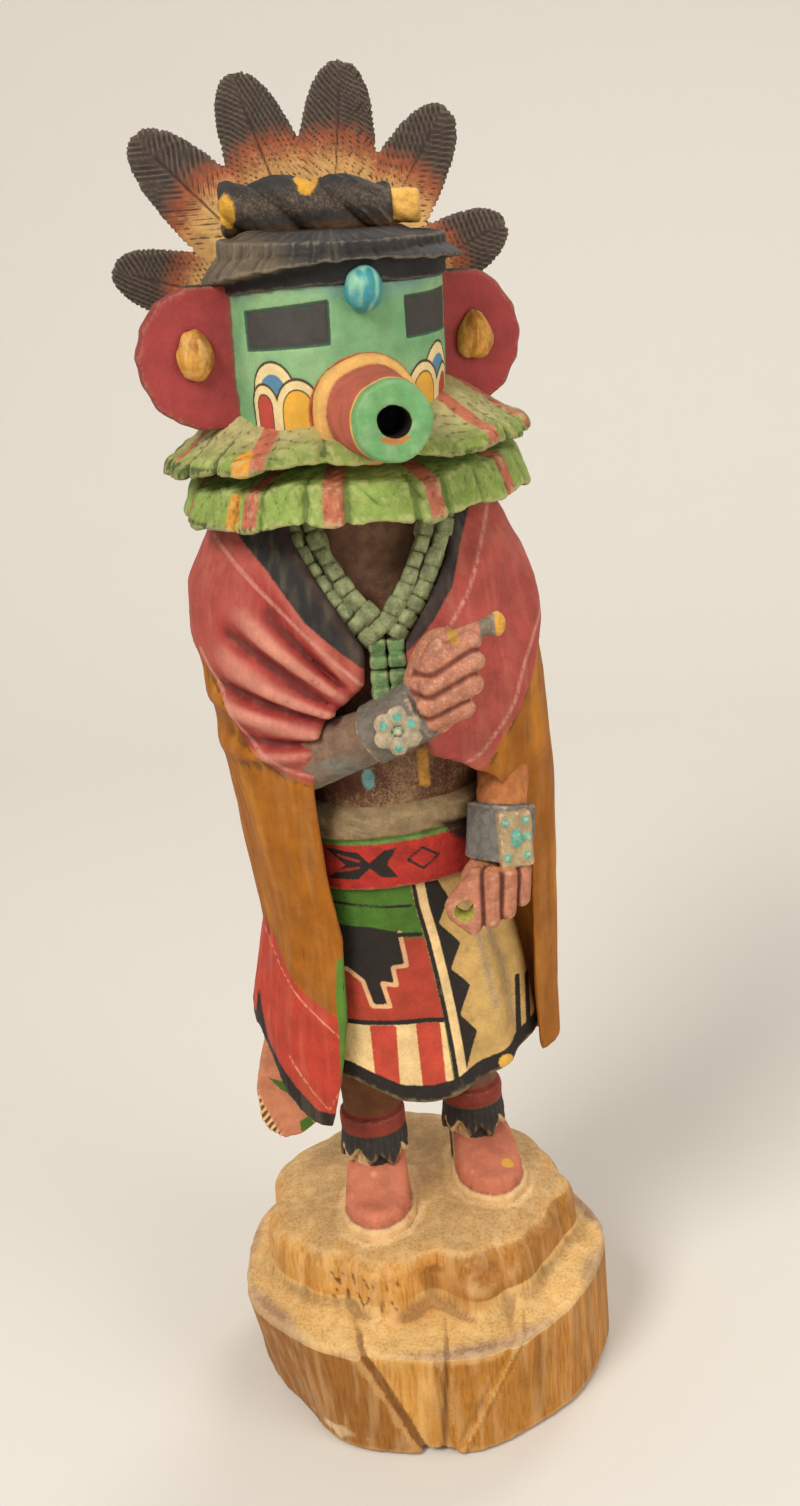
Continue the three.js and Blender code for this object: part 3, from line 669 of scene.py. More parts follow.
@dataclass
class LogBase(Piece):
    """The sawn log with a stepped mound left standing on it."""

    radius: float = 57.0
    top: float = 35.0
    mound_top: float = 58.0
    crack: tuple[Corner, ...] = ((3.2, 36), (1.5, 22), (0.6, 12), (-0.4, -1))
    wedge_left: tuple[Corner, ...] = ((-23.5, 38), (-16, 24), (-4.6, -1))
    wedge_right: tuple[Corner, ...] = ((27.0, 36), (17, 20), (5.6, -1))

    def rim(self, angle: Array, z: Array) -> Array:
        """The log's radius: nearly round, with flats and a cut lower front-left."""
        hewn = 0.7 * np.cos(5 * angle + 0.6) + 0.5 * np.cos(9 * angle)
        low_cut = 8 * bump(angle, math.radians(-152), 0.75) * (1 - z / self.top)
        swell = 2.4 * bump(angle, math.radians(-66), 0.4) * np.clip(z / self.top, 0, 1)
        return self.radius + hewn - low_cut + swell

    def hill(self, angle: Array, z: Array) -> Array:
        """The mound's radius, hewn in long upright facets."""
        wall = np.interp(z, [34, 39, 51, 55, 58], [48.5, 47.0, 46.2, 44.5, 38])
        facets = 1.1 * np.cos(7 * angle + 0.4) + 0.8 * np.cos(11 * angle + 1.2)
        cuts = 1.3 * np.abs(np.cos(8.5 * angle + 0.02 * z))
        notch = 5.5 * bump(angle, FRONT + 0.06, 0.3) * ramp(z, 60, 44)
        step = 3.5 * bump(angle, FRONT + 0.42, 0.5) * ramp(z, 50, 44)
        return wall + facets + cuts - 7 * bump(angle, FRONT, 1.4) - notch + step

    def shape(self, p: Points) -> Array:
        """The log, its mound and the split wedge at the front."""
        x, y, z = p
        x = x + 2
        angle = np.arctan2(y, x)
        r = np.hypot(x, y)
        rim = self.rim(angle, z)
        level = self.top + 0.22 * np.clip(rim - r, 0, 13) + 0.5 * np.cos(3 * angle)
        body = soft_max(r - rim, z - level, 1.8)
        body = soft_max(body, -z, 1.0)
        edge_left = np.interp(z, [0, 24, 38], [-4.6, -16, -23.5])
        edge_right = np.interp(z, [0, 20, 36], [5.6, 17, 27.0])
        inside = np.minimum(x - edge_left, edge_right - x)
        cut = np.where(y < -30, 1.6 * ramp(inside, -0.8, 1.6), 0)
        body = body + cut
        around = np.hypot(x, y - 2)
        mound = around - self.hill(np.arctan2(y - 2, x), z)
        crest = self.mound_top - 0.8 * ramp(around, 20, 40) + 0.7 * np.cos(x / 9 + 1) * np.cos(y / 8)
        mound = soft_max(mound, z - crest, 5.5)
        return soft_min(body, soft_max(mound, 30 - z, 1), 2.5)

    def marks(self, p: Points) -> Array:
        """Bark fibres down the side, saw and gouge marks on top, cracks and shallow strokes."""
        x, y, z = p
        angle = np.arctan2(y, x)
        round_way = wound(angle, self.radius, z / 9)
        fibres = 0.1 * noise(round_way, 1.5, 7) + 0.28 * noise(round_way, 4.5, 8)
        top = ramp(np.hypot(x + 2, y), self.radius, self.radius - 3) * ramp(z, 33, 36)
        gouges = 0.35 * noise(p, (9, 9, 5), 9) + 0.06 * noise(p, 1.8, 10)
        front = ramp(y, -38, -48) * ramp(z, 37, 34)
        split = -0.6 * ramp(line(x, z, list(self.crack), 0.8), 0.9, -0.1)
        split = split - 0.9 * ramp(line(x, z, list(self.wedge_left), 0.9), 1.0, 0)
        split = split - 0.35 * ramp(line(x, z, list(self.wedge_right), 0.8), 1.0, 0)
        return fibres * (1 - top) + gouges * top + front * split - 0.5 * ramp(self.strokes(p), 0.5, -0.2)

    def strokes(self, p: Points) -> Array:
        """Two rows of short scratched strokes on the mound's front wall."""
        x, y, z = p
        rows = []
        for row, (height, count) in enumerate(((49.5, 7), (43.5, 6))):
            for index in range(count):
                start = -29.5 + 3.2 * index + 1.2 * row
                lean = (0.9, -0.7, 0.2)[(index + row) % 3]
                tall = (3.4, 2.6, 3.9)[(index * 2 + row) % 3]
                rows.append(line(x, z, [(start, height), (start + lean * 1.6, height - tall)], 0.45))
        return np.where(y < -10, np.minimum.reduce(rows), 9.0)

    def coats(self, p: Points) -> list[Coat]:
        """Bare wood in its several tones, with painted shade down the log's left side, stains, halos and
        scratches.
        """
        x, y, z = p
        r = np.hypot(x + 2, y)
        angle = np.arctan2(y, x + 2)
        side = (55.2 - r) + 0.2 * (z - 34) + 1.5 * noise(p, 6, 11)
        mound_top = -(z - 54.5) + 1.0 * noise(p, 6, 12)
        grey = np.where((z > 33) & (z < 42), -(r - 54.9 + 3.5 * noise(p, 14, 14)), 9)
        ring = np.where((z > 33) & (z < 42), 9 - 0.3 * r + 6 * noise(p, 9, 21), 9)
        streak = 0.45 - noise(wound(angle, self.radius, z / 14), 4.2, 15)
        streak = np.where(z < 34.5, streak * 4, 9)
        wedge = outline(x, z, [(-22, 36), (2.6, 36), (-0.6, 0), (-5, 0)]) + np.where(y < -30, 0.0, 60.0)
        left = np.where(z < 34.5, 30 + x + 0.5 * y + 8 * noise(p, (12, 12, 20), 16), 9)
        drips = 0.45 - noise((x, y, z / 10), 4.2, 17)
        drips = np.where((z > 38) & (z < 55), drips * 3, 9)
        soles = np.minimum(*(outline(*Feet.local(x, y, foot), Feet.sole()) - 2.4
            for foot in (Feet.left, Feet.right)))
        soles = np.where(z > 54, soles + 0.8 * noise(p, 4, 18), 9)
        bark = np.maximum(np.hypot((x + 31) / 1.6, (z - 5) * 1.6) - 3.4 + 2.4 * noise(p, 3, 19), y + 20)
        front = y + 40
        cracks = np.minimum(line(x, z, list(self.crack), 0.4), line(x, z, list(self.wedge_left), 0.7))
        cracks = np.minimum(cracks, line(x, z, list(self.wedge_right), 0.1))
        cracks = np.maximum(np.maximum(cracks, front), z - 36)
        return [
            Coat("side", "#b77a2a", side, 1.2, 1.5),
            # Painted shade: the log's left side is darker.
            Coat("left_side_shade", "#9a6323", left, 2.0, 6.0),
            Coat("wedge", "#cb9242", wedge, 0.8, 1.0),
            Coat("streaks", "#94601f", streak, 0.6, 2.4),
            Coat("drips", "#b77a2c", drips, 0.8, 1.8),
            Coat("right_dark", "#a9702c", np.where((z > 37) & (z < 54),
                14 - x + 0.3 * y + 4 * noise(p, 8, 20), 9), 2.0, 5.0),
            Coat("ring", "#d8ae6c", ring, 2.0, 4.0),
            Coat("grey_rim", "#a78466", grey, 1.2, 2.2),
            Coat("mound_top", "#c59e66", mound_top, 1.2, 2.5),
            Coat("halo", "#dfbb82", soles, 0.6, 0.9),
            Coat("bark", "#c9aa7c", bark, 0.8, 0.8),
            Coat("cracks", "#6e451f", cracks, 0.5, 0.9),
            Coat("strokes", "#7b4a1c", self.strokes(p), 0.1, 0.22),
        ]


# ---- Feet and legs ------------------------------------------------------------------------------


@dataclass
class Feet(Piece):
    """Two moccasins on cream soles."""

    left = (-13.5, -9.0, -4.0)
    right = (20.5, 3.5, 10.0)
    level: float = 58.0

    @staticmethod
    def local(x: Array, y: Array, foot: Spot) -> tuple[Array, Array]:
        """Points measured from a foot's middle, toe towards -v."""
        turn = math.radians(foot[2])
        dx, dy = x - foot[0], y - foot[1]
        return dx * math.cos(turn) + dy * math.sin(turn), dy * math.cos(turn) - dx * math.sin(turn)

    @staticmethod
    def sole(length: float = 40, width: float = 23) -> list[Corner]:
        """A foot's outline."""
        half = [(0, -0.5), (0.16, -0.48), (0.38, -0.37), (0.5, -0.2), (0.49, 0), (0.43, 0.2), (0.36, 0.38),
            (0.2, 0.48)]
        right = [(u * width, v * length) for u, v in half]
        return right + [(-u, v) for u, v in right[:0:-1]]

    def shape(self, p: Points) -> Array:
        """A thin sole and a rounded upper that rises to the ankle."""
        x, y, z = p
        both = None
        for foot in (self.left, self.right):
            u, v = self.local(x, y, foot)
            flat = outline(u, v, self.sole())
            pad = soft_max(flat, np.maximum(z - self.level - 2.0, self.level - 3 - z), 0.8)
            crown = self.level + 7.4 + 9.0 * ramp(v, -13, 8) - 0.012 * u * u
            upper = soft_max(flat + 1.6, np.maximum(z - crown, self.level - 3 - z), 3.0)
            one = soft_min(pad, upper, 0.6)
            both = one if both is None else np.minimum(both, one)
        return both

    def coats(self, p: Points) -> list[Coat]:
        """Cream soles, a seam line and chips down to the wood."""
        x, y, z = p
        chips = 0.72 - noise(p, 3.4, 21)
        nick = np.sqrt((x - 27) ** 2 + (y + 6) ** 2 + (z - 66) ** 2) - 2.0
        return [
            Coat("sole", "#d9b27c", z - self.level - 2.3, 0.3, 0.3),
            Coat("chips", "#cf9468", chips * 3, 0.4, 0.4),
            Coat("nick", "#d39a3c", nick, 0.5, 0.3),
        ]


@dataclass
class Legs(Piece):
    """The legs and the shaggy fur cuffs round the ankles."""

    left = (-13.5, -1.0, 8.6)
    right = (18.0, 10.0, 8.0)

    def around(self, p: Points) -> list[tuple[Array, Array]]:
        """Each leg's distance from its axis, and the angle round it."""
        x, y, _ = p
        return [(np.hypot(x - cx, y - cy), np.arctan2(y - cy, x - cx)) for cx, cy,
            _ in (self.left, self.right)]

    def shape(self, p: Points) -> Array:
        """Shanks, and cuffs that flare down into points."""
        z = p[2]
        whole = None
        for (r, angle), (_, _, radius) in zip(self.around(p), (self.left, self.right)):
            swell = radius + 1.0 * ramp(z, 84, 106)
            shank = np.maximum(r - swell, np.maximum(60 - z, z - 112))
            teeth = np.abs(np.mod(angle * 9 / TAU, 1) - 0.5) * 2
            lower = 71.5 + 4.5 * teeth + 1.0 * np.cos(3 * angle)
            flare = radius + 2.6 - 0.12 * (z - 70)
            cuff = soft_max(r - flare, np.maximum(lower - z, z - 83), 1.0)
            band = soft_max(r - radius - 1.5, np.abs(z - 84.6) - 2.8, 1.2)
            one = soft_min(soft_min(shank, cuff, 0.8), band, 0.6)
            whole = one if whole is None else np.minimum(whole, one)
        return whole

    def marks(self, p: Points) -> Array:
        """Strands in the fur and a soft surface above it."""
        (ra, aa), (rb, ab) = self.around(p)
        angle = np.where(ra < rb, aa, ab)
        strands = 0.3 * (ridges(angle, TAU / 30) - 0.5) * ramp(p[2], 83, 80)
        return strands + 0.12 * noise(p, 2, 22)

    def coats(self, p: Points) -> list[Coat]:
        """Fur in black and cream, a red band and painted stockings."""
        z = p[2]
        (ra, aa), (rb, ab) = self.around(p)
        angle = np.where(ra < rb, aa, ab)
        right = np.where(ra < rb, 9.0, -1.0)
        fur = z - 81.8
        low = z - 76.0 - 1.6 * np.cos(9 * angle)
        return [
            Coat("right_leg", "#6e4a38", right, 0, 0.1),
            Coat("band", "#86362a", np.abs(z - 85.4) - 3.2, 0.6, 0.5),
            Coat("fur", Tint.SOOT, fur, 0.5, 0.4),
            Coat("fur_pale", "#c0a274", np.maximum(low, (0.1 - np.cos(3 * angle + 0.6)) * 6), 0.6, 0.4),
        ]


# ---- Kilt, belt and body ------------------------------------------------------------------------


@dataclass
class Kilt(Piece):
    """The painted kilt, with soft folds at the viewer's right."""

    hem_corners: tuple[Corner, ...] = (
        (-40, 115), (-17, 110.6), (-3, 103.6), (6, 102.4), (12, 104), (22, 108), (30, 110.4), (38, 114),
            (44, 118),
    )

    def shape(self, p: Points) -> Array:
        """A pleated tube cut off along a dipping hem."""
        x, y, z = p
        angle = np.arctan2(y, x - 2)
        rows = [(98, 3, 0, 37.4, 29.6), (106, 3, 0, 37.0, 29.4), (141, 2.6, 0, 33.6, 28.2),
            (178, 2, -1, 27.2, 25.2)]
        folds = 1.3 * np.cos(13 * angle + 0.03 * z) * bump(angle, math.radians(-42), 1.1) * ramp(z, 174, 140)
        body = loft(p, rows, 2.3, 1.0) - folds
        hem = np.interp(x, *zip(*self.hem_corners))
        hem = np.where(y < 6, hem, 107.5)
        return soft_max(body, hem - z, 1.6)

    def coats(self, p: Points) -> list[Coat]:
        """The kilt's panels: green bands, a stepped cloud, stripes and a saw-toothed strip."""
        x, y, z = p
        front = np.where(y < 8, 0.0, 60.0)
        strip = [(4.2, 174), (5.2, 165), (7.2, 155), (9.0, 143), (10.4, 132), (11.6, 120), (12.6, 106)]
        left = outline(x, z, [(-45, 176)] + strip + [(-45, 104)]) + front
        saw = [
            (12.0, 172), (14.9, 166), (11.4, 159), (17.2, 151.5), (13.8, 144.4), (19.0, 138), (15.4, 129.6),
            (20.0, 123.2), (16.2, 113),
        ]
        black = outline(x, z, [(4.2, 176)] + [(12.0, 176)] + saw + [(14, 104),
            (12.6, 104)] + strip[:0:-1]) + front
        cloud = [
            (-30, 147), (-15.5, 146.2), (-11.5, 142.8), (-9.5, 135), (-4.4, 134.9), (-6, 142.2), (-2, 141.4),
            (-2.6, 147), (1.4, 147.2), (0.2, 157.5),
        ]
        steps = line(x, z, cloud, 1.3) + front
        cloud = cloud + [(-8, 159.5), (-30, 160)]
        stripes = outline(x, z, [(-30, 129.2), (10.6, 129.2), (12.4, 104), (-30, 104)]) + front
        reds = np.minimum(
            outline(x, z, [(-10.8, 129), (-3.2, 129), (-3.8, 104), (-10.6, 104)]),
            outline(x, z, [(2.4, 129), (9.4, 129), (9.8, 104), (3.0, 104)]),
        ) + front
        red_field = outline(x, z, [(-30, 155), (7.0, 155.5), (10.8, 130), (-30, 130.5)]) + front
        hem_line = z - np.interp(x, *zip(*self.hem_corners)) - 6.2 + np.where(y < 6, 0, 2)
        bars = np.minimum(
            outline(x, z, [(32.5, 135), (34.0, 135), (33.4, 116), (31.6, 116)]),
            outline(x, z, [(35.6, 134), (37.0, 134), (36.4, 117), (34.9, 117)]),
        ) + front
        folds = line(x, z, [(19, 166), (23, 150), (26, 130)], 1.2)
        folds = np.minimum(folds, line(x, z, [(24, 160), (29, 140), (31, 122)], 1.0)) + front
        chip = np.hypot(x - 27.7, z - 112.0) - 2.2 + front
        lines = np.minimum(line(x, z, [(-30, 166.8), (4, 165.2)], 0.9),
            line(x, z, [(-30, 158.2), (6, 156.4)], 1.3))
        lines = np.minimum(lines, line(x, z, [(-30, 130.0), (10.5, 129.6)], 1.5)) + front
        return [
            Coat("fold_shade", "#9b8468", folds, 1.2, 1.6),
            Coat("green", Tint.GREEN, left, 0.3, 0.25),
            Coat("field_red", "#a33a28", red_field, 0.3, 0.25),
            Coat("cloud", Tint.BLACK, outline(x, z, cloud) + front, 0.35, 0.3),
            Coat("cloud_edge", "#d3a274", steps, 0.2, 0.2),
            Coat("stripe_ground", Tint.CREAM, stripes, 0.2, 0.2),
            Coat("stripes", "#b8432f", reds, 0.25, 0.22),
            Coat("lines", Tint.BLACK, lines, 0.25, 0.2),
            Coat("saw", Tint.BLACK, black, 0.25, 0.2),
            Coat("strip", Tint.CREAM, line(x, z, [(a + 2.6, b) for a, b in strip], 2.5) + front, 0.2, 0.2),
            Coat("bars", Tint.BLACK, bars, 0.2, 0.2),
            Coat("hem", Tint.BLACK, hem_line, 0.35, 0.3),
            Coat("chip", "#d2a03c", chip, 0.6, 0.3),
        ]


@dataclass
class Belt(Piece):
    """The broad red sash with the pale rolled belt above it."""

    def shape(self, p: Points) -> Array:
        """A flat band and a fat roll."""
        x, y, z = p
        tilt = z - 0.06 * (x - 1.5)
        q = (x, y, tilt)
        band = loft(q, [(171.5, 1.5, -1, 28.4, 27.2), (186.5, 1.5, -1.5, 27.8, 27.2)], 2.3, 1.0)
        rows = [(185.5, 1.5, -1.5, 26.8, 25.2), (188, 1.5, -1.5, 29.4, 27.6), (193.5, 1.5, -1.5, 29.2, 27.4),
                (197, 1.5, -1.5, 25.5, 24)]
        return soft_min(band, loft(q, rows, 2.3, 2.0), 0.5)

    def marks(self, p: Points) -> Array:
        """Twisted cloth in the roll, and a fine lumpy surface."""
        x, _, z = p
        twist = 0.5 * noise((x / 2.2 + z * 0.4, z * 0 + 1, z), 2.6, 23) * ramp(z, 185, 188)
        return twist + 0.1 * noise(p, 2, 24)

    def coats(self, p: Points) -> list[Coat]:
        """A green edge, the red sash, its black figures and a dark patch beside the cuff."""
        x, y, z = p
        front = np.where(y < 0, 0.0, 60.0)
        tilt = z - 0.06 * (x - 1.5)
        hour = outline(x, z, [
            (-19, 183.6), (-9.5, 182.8), (-6.5, 179.6), (-2, 183.4), (1.6, 184), (-1.6, 179.2), (1.4, 174.8),
            (-3.4, 175.2), (-6.5, 178.0), (-10, 174.6), (-19, 174.0), (-13.2, 178.8),
        ]) + front
        gaps = np.minimum(line(x, z, [(-16, 176.6), (-9.6, 178.2)], 0.9),
            line(x, z, [(-15, 181.6), (-9.4, 180.2)], 0.9))
        diamond = np.abs(outline(x, z, [(4.2, 180), (8.6, 183.2), (13.0, 180.2),
            (8.6, 176.8)])) - 0.38 + front
        patch = outline(x, z, [(13.8, 190), (24, 189), (24, 180), (17.5, 184.5)]) + front
        return [
            Coat("edge", "#567431", tilt - 187.6, 0.4, 0.3),
            Coat("sash", "#a22a1f", tilt - 185.6, 0.3, 0.25),
            Coat("hourglass", Tint.BLACK, hour, 0.2, 0.2),
            Coat("gaps", "#8f2a1f", gaps + front, 0.15, 0.2),
            Coat("diamond", Tint.BLACK, diamond, 0.1, 0.18),
            # A dark brown patch on the sash just left of the cuff and above the fist.
            Coat("dark_patch_by_cuff", "#3a1f18", patch, 0.8, 0.9),
        ]


@dataclass
class Torso(Piece):
    """The chest and belly that show through the cape's opening."""

    def shape(self, p: Points) -> Array:
        """A simple chest, left plain behind."""
        rows = [
            (188, 2.5, -1.5, 25, 23), (198, 2.5, -1.5, 26, 25.6), (210, 2.5, -1.5, 26.5, 26),
                (232, 2.5, -1, 28, 25),
            (254, 1.5, 0, 29, 23.6), (268, 0.5, 1, 25, 22), (280, 0.5, 0, 20, 20), (296, -0.5, -3, 19, 19),
        ]
        return np.maximum(loft(p, rows, 2.2), p[1] - 0.5)

    def coats(self, p: Points) -> list[Coat]:
        """Tan dust, and dabs of blue and yellow on the belly."""
        x, _, z = p
        dust = 0.45 + 0.7 * noise(p, 9, 26)
        blue = np.hypot((x + 4.6) * 1.1, (z - 204) / 1.6) - 1.9
        yellow = np.maximum(np.abs(x - 10.8) - 1.5, np.abs(z - 206) - 5.5)
        warm = np.maximum(z - 252, 228 - z) * 0.3 + 2 * noise(p, 6, 27)
        return [
            Coat("warm", "#7a4028", warm, 1.0, 2.5),
            Coat("belly", "#53301f", p[2] - 212, 2.0, 9.0),
            Coat("dust", "#9a7a58", dust, 1.6, 0.6),
            Coat("blue", "#6f9a98", blue, 0.6, 0.5),
            Coat("yellow", "#c08a3a", yellow, 0.7, 0.6),
        ]


# ---- Cape ---------------------------------------------------------------------------------------


@dataclass
class Cape(Piece):
    """The cape drawn over both shoulders, solid with the figure's back."""

    rows: tuple[Row, ...] = (
        (86, 0, 3, 46, 36.5), (125, 0, 3, 46, 37.5), (152, 3.6, 3, 43.6, 38), (190, 2.4, 2, 46, 39),
        (222, 0.4, 1, 48, 39.5), (245, -2.2, 0, 48, 38), (259, -2.6, -1, 46.5, 35), (273, -2.4, -1, 39, 31),
        (290, -2, -2, 28, 25),
    )
    opening: tuple[Corner, ...] = (
        (-22, 296), (-19, 272), (-10, 256), (-2.5, 243), (-3.5, 234), (-9, 229.5), (-15, 224), (-18, 218),
            (-19, 203),
        (-18, 176), (-15.5, 158), (-16.5, 132), (-20, 112), (-27, 84), (39, 84), (38, 130), (38.5, 174),
            (38, 186),
        (34.5, 195), (29.5, 202.5), (21, 209.5), (13, 213), (9, 230), (9, 244), (16, 254), (21.5, 264),
            (23.5, 278), (25, 296),
    )
    left_edge: tuple[Corner, ...] = (
        (-52, 245), (-45, 235.5), (-40, 224.4), (-38, 218), (-33.2, 213.2), (-26, 208.6), (-20, 206.8),
            (-8, 206),
    )
    right_edge: tuple[Corner, ...] = ((18, 205), (26.5, 205.8), (30, 209.5), (38.4, 220.6), (43.4, 229),
        (46, 237.6), (52, 244))

    def hem(self, angle: Array) -> Array:
        """The height of the lower edge round the figure."""
        side = 110 + 11 * bump(angle, math.pi, 1.1)
        corner = (side - 97) * bump(angle, math.radians(-128), 1.05)
        return side - corner - 2 * bump(angle, 0, 0.9)

    def fold_wave(self, p: Points) -> Array:
        """The folds that fan out over the viewer's left arm, from -1 to 1."""
        x, y, z = p
        fan = np.arctan2(z - 221, -(x - 6))
        far = np.hypot(x - 6, z - 221)
        wave = np.cos(fan * 22 - 0.07 * far + 0.8) + 0.3 * np.cos(fan * 37 + 1)
        reach = ramp(far, 10, 24) * ramp(far, 58, 44) * ramp(fan, 1.0, 0.8) * ramp(fan, -0.3, -0.1)
        return wave * reach * ramp(x, -4, -12) * ramp(y, 12, -8)

    def folds(self, p: Points) -> Array:
        """Folds that fan out over the viewer's left arm, and long waves lower down."""
        x, y, z = p
        angle = np.arctan2(y, x)
        left = 2.2 * self.fold_wave(p)
        right = 1.0 * np.cos((x - 0.35 * z) / 3.2) * ramp(x, 12, 24) * ramp(z, 206, 226) * ramp(z, 278,
            262) * ramp(y, 10, -8)
        waves = 0.8 * ramp(z, 215, 190) * np.cos(8 * angle + 1)
        back = 0.9 * np.cos(7 * angle) * ramp(y, 5, 20) * ramp(z, 275, 235)
        return left + right + waves + back

    def shape(self, p: Points) -> Array:
        """The outer skin, filled behind the figure and open at the front."""
        x, y, z = p
        angle = np.arctan2(y, x)
        outer = loft(p, list(self.rows), 2.15, 3.0) - self.folds(p)
        inner = outer + 4.2
        fill = np.maximum(-6 - y, 111 - z)
        hollow = np.maximum(inner, -fill)
        skin = soft_max(outer, -hollow, 0.8)
        skin = soft_max(skin, self.hem(angle) - z, 1.6)
        gap = np.maximum(outline(x, z, list(self.opening)), y + 7)
        lift = -1.2 * bump(angle, math.radians(-118), 0.5) * ramp(z, 150, 110)
        return soft_max(skin + lift, -gap, 1.4)

    def marks(self, p: Points) -> Array:
        """Long knife strokes below, a smoother skin above, and the cloth's overlap as a step."""
        x, y, z = p
        lower = ramp(self.edge_gap(p), 0.6, -0.6)
        strokes = 0.22 * noise((x, y, z / 9), 1.6, 31) + 0.2 * noise((x, y, z / 5), 4, 32)
        return 0.9 * (1 - lower) + lower * strokes * 1.3 + (1 - lower) * 0.1 * noise(p, 1.8, 33) - 0.45

    def edge_gap(self, p: Points) -> Array:
        """How far below the red top's lower edge each point is."""
        x, y, z = p
        at = np.where(x < 0, np.interp(x, *zip(*self.left_edge)), np.interp(x, *zip(*self.right_edge)))
        behind = 241 + 2 * np.cos(5 * np.arctan2(y, x))
        share = ramp(y, -2, 8)
        return (at * (1 - share) + behind * share - z) * -0.75

    def coats(self, p: Points) -> list[Coat]:
        """Red over ochre, black linings, pale drawn lines and the low red corner, with painted highlight on
        the fold ridges and painted shade in the fold hollows.
        """
        x, y, z = p
        ahead = np.where(y < 3, 0.0, 60.0)
        angle = np.arctan2(y, x)
        gap = self.edge_gap(p)
        v_left = [(-40, 272.5), (-36.6, 269.4), (-28.4, 260.7), (-18.8, 250.3), (-10.4, 241.6), (-1.5, 232.4)]
        v_right = [(36, 282), (33.8, 274.6), (29.1, 262.2), (26, 255), (21, 248), (15, 243)]
        low_left = [(-47, 242), (-45, 237.4), (-40.1, 226.9), (-38.1, 220.8), (-33.3, 215.6),
            (-26.2, 210.9), (-18.6, 208.9)]
        low_right = [(47, 243), (44.3, 239.5), (40.6, 232.8), (36.8, 223.1), (33.6, 218.6), (27.2, 211.6),
            (22, 209)]
        lines = [line(x, z, corners, 0.8) for corners in (v_left, v_right, low_left, low_right)]
        pale = np.minimum.reduce(lines) + ahead
        pale = np.minimum(pale, np.maximum(np.abs(gap - 1.9) - 0.33, 3 - y))
        strip_left = [(-44, 298), (-38, 281), (-35.3, 276.8), (-25.8, 265.6), (-16.8, 252), (-9, 244.4),
            (-2.6, 238.6), (8, 232), (10, 300)]
        strip_right = [(36, 300), (31.6, 286), (29.6, 278.5), (25.4, 268), (22.1, 257.2), (16.4, 249.5),
            (9.2, 242.6), (2, 236), (-6, 300)]
        black = np.minimum(outline(x, z, strip_left), outline(x, z, strip_right)) + ahead
        corner = [(-60, 163), (-46, 161), (-39.8, 156.4), (-30, 141.5), (-16.6, 131.6), (-10, 128),
            (-10, 84), (-60, 84)]
        behind = np.where(x < 0, z - 150 + 6 * ramp(y, 0, 25), z - 132 - 0.2 * x)
        low_red = np.where(y < 3, outline(x, z, corner) + np.where(x > 5, 60, 0), behind * 0.9)
        low_line = [(-46, 158), (-40.2, 152.0), (-29.6, 137.8), (-19.3, 127.6), (-18.6, 118),
            (-20.6, 110.5), (-25, 103.5)]
        low_line = low_line + [(-30.9, 111.7), (-35.1, 118.8)]
        edge = self.hem(angle) - z + 5.4
        border = np.where(y < 3, np.maximum(-edge, x + 13), -edge - 1.0)
        side = outline(x, z, [(-48, 140), (-43.6, 132), (-41.6, 118), (-34.6, 109.6), (-24, 98.8),
            (-24, 80), (-60, 80), (-60, 140)])
        border = np.where(y < -3, np.minimum(np.maximum(border, x + 15), side), border)
        green = np.maximum(line(x, z, [(-16.2, 150), (-17.2, 140), (-17.4, 128), (-18.2, 112)], 4.6), y + 5)
        lining = np.maximum(line(x, z, [(-15.4, 166), (-14.8, 156), (-15.4, 150)], 1.6), y + 5)
        spot = np.hypot(x - 36.6, (z - 122) / 1.6) - 1.4 + ahead
        knots = 0.5 - noise((x, y, z / 3.5), 7, 34)
        worn = 0.55 - noise(p, 9, 35)
        return [
            Coat("worn", "#b04c40", np.maximum(worn * 6, 0.2 - gap), 1.5, 4.0),
            # Painted highlight on the fold ridges over the left arm, and painted shade in the fold hollows.
            Coat("fold_ridge_highlight", "#c47d6a", (0.3 - self.fold_wave(p)) * 3, 0.8, 1.6),
            Coat("fold_hollow_shade", "#8c2c27", (self.fold_wave(p) + 0.5) * 3, 0.5, 1.2),
            Coat("ochre", "#9a5a08", gap, 0.5, 0.35),
            Coat("ochre_glow", "#b97408", np.maximum(gap, knots * 4), 1.2, 2.0),
            Coat("low_red", "#b23a28", low_red, 0.4, 0.3),
            Coat("low_line", "#d98a6a", line(x, z, low_line, 0.6) + np.where(y < 0, 0.0, 60.0), 0.2, 0.25),
            Coat("border", Tint.BLACK, border, 0.5, 0.35),
            Coat("green", "#4f7a26", green, 0.4, 0.3),
            Coat("lining", "#a8392a", lining, 0.3, 0.3),
            Coat("pale", "#c98c7a", pale, 0.12, 0.6),
            Coat("strip", "#252322", black, 0.4, 0.35),
            Coat("spot", Tint.BLACK, spot, 0.5, 0.4),
        ]


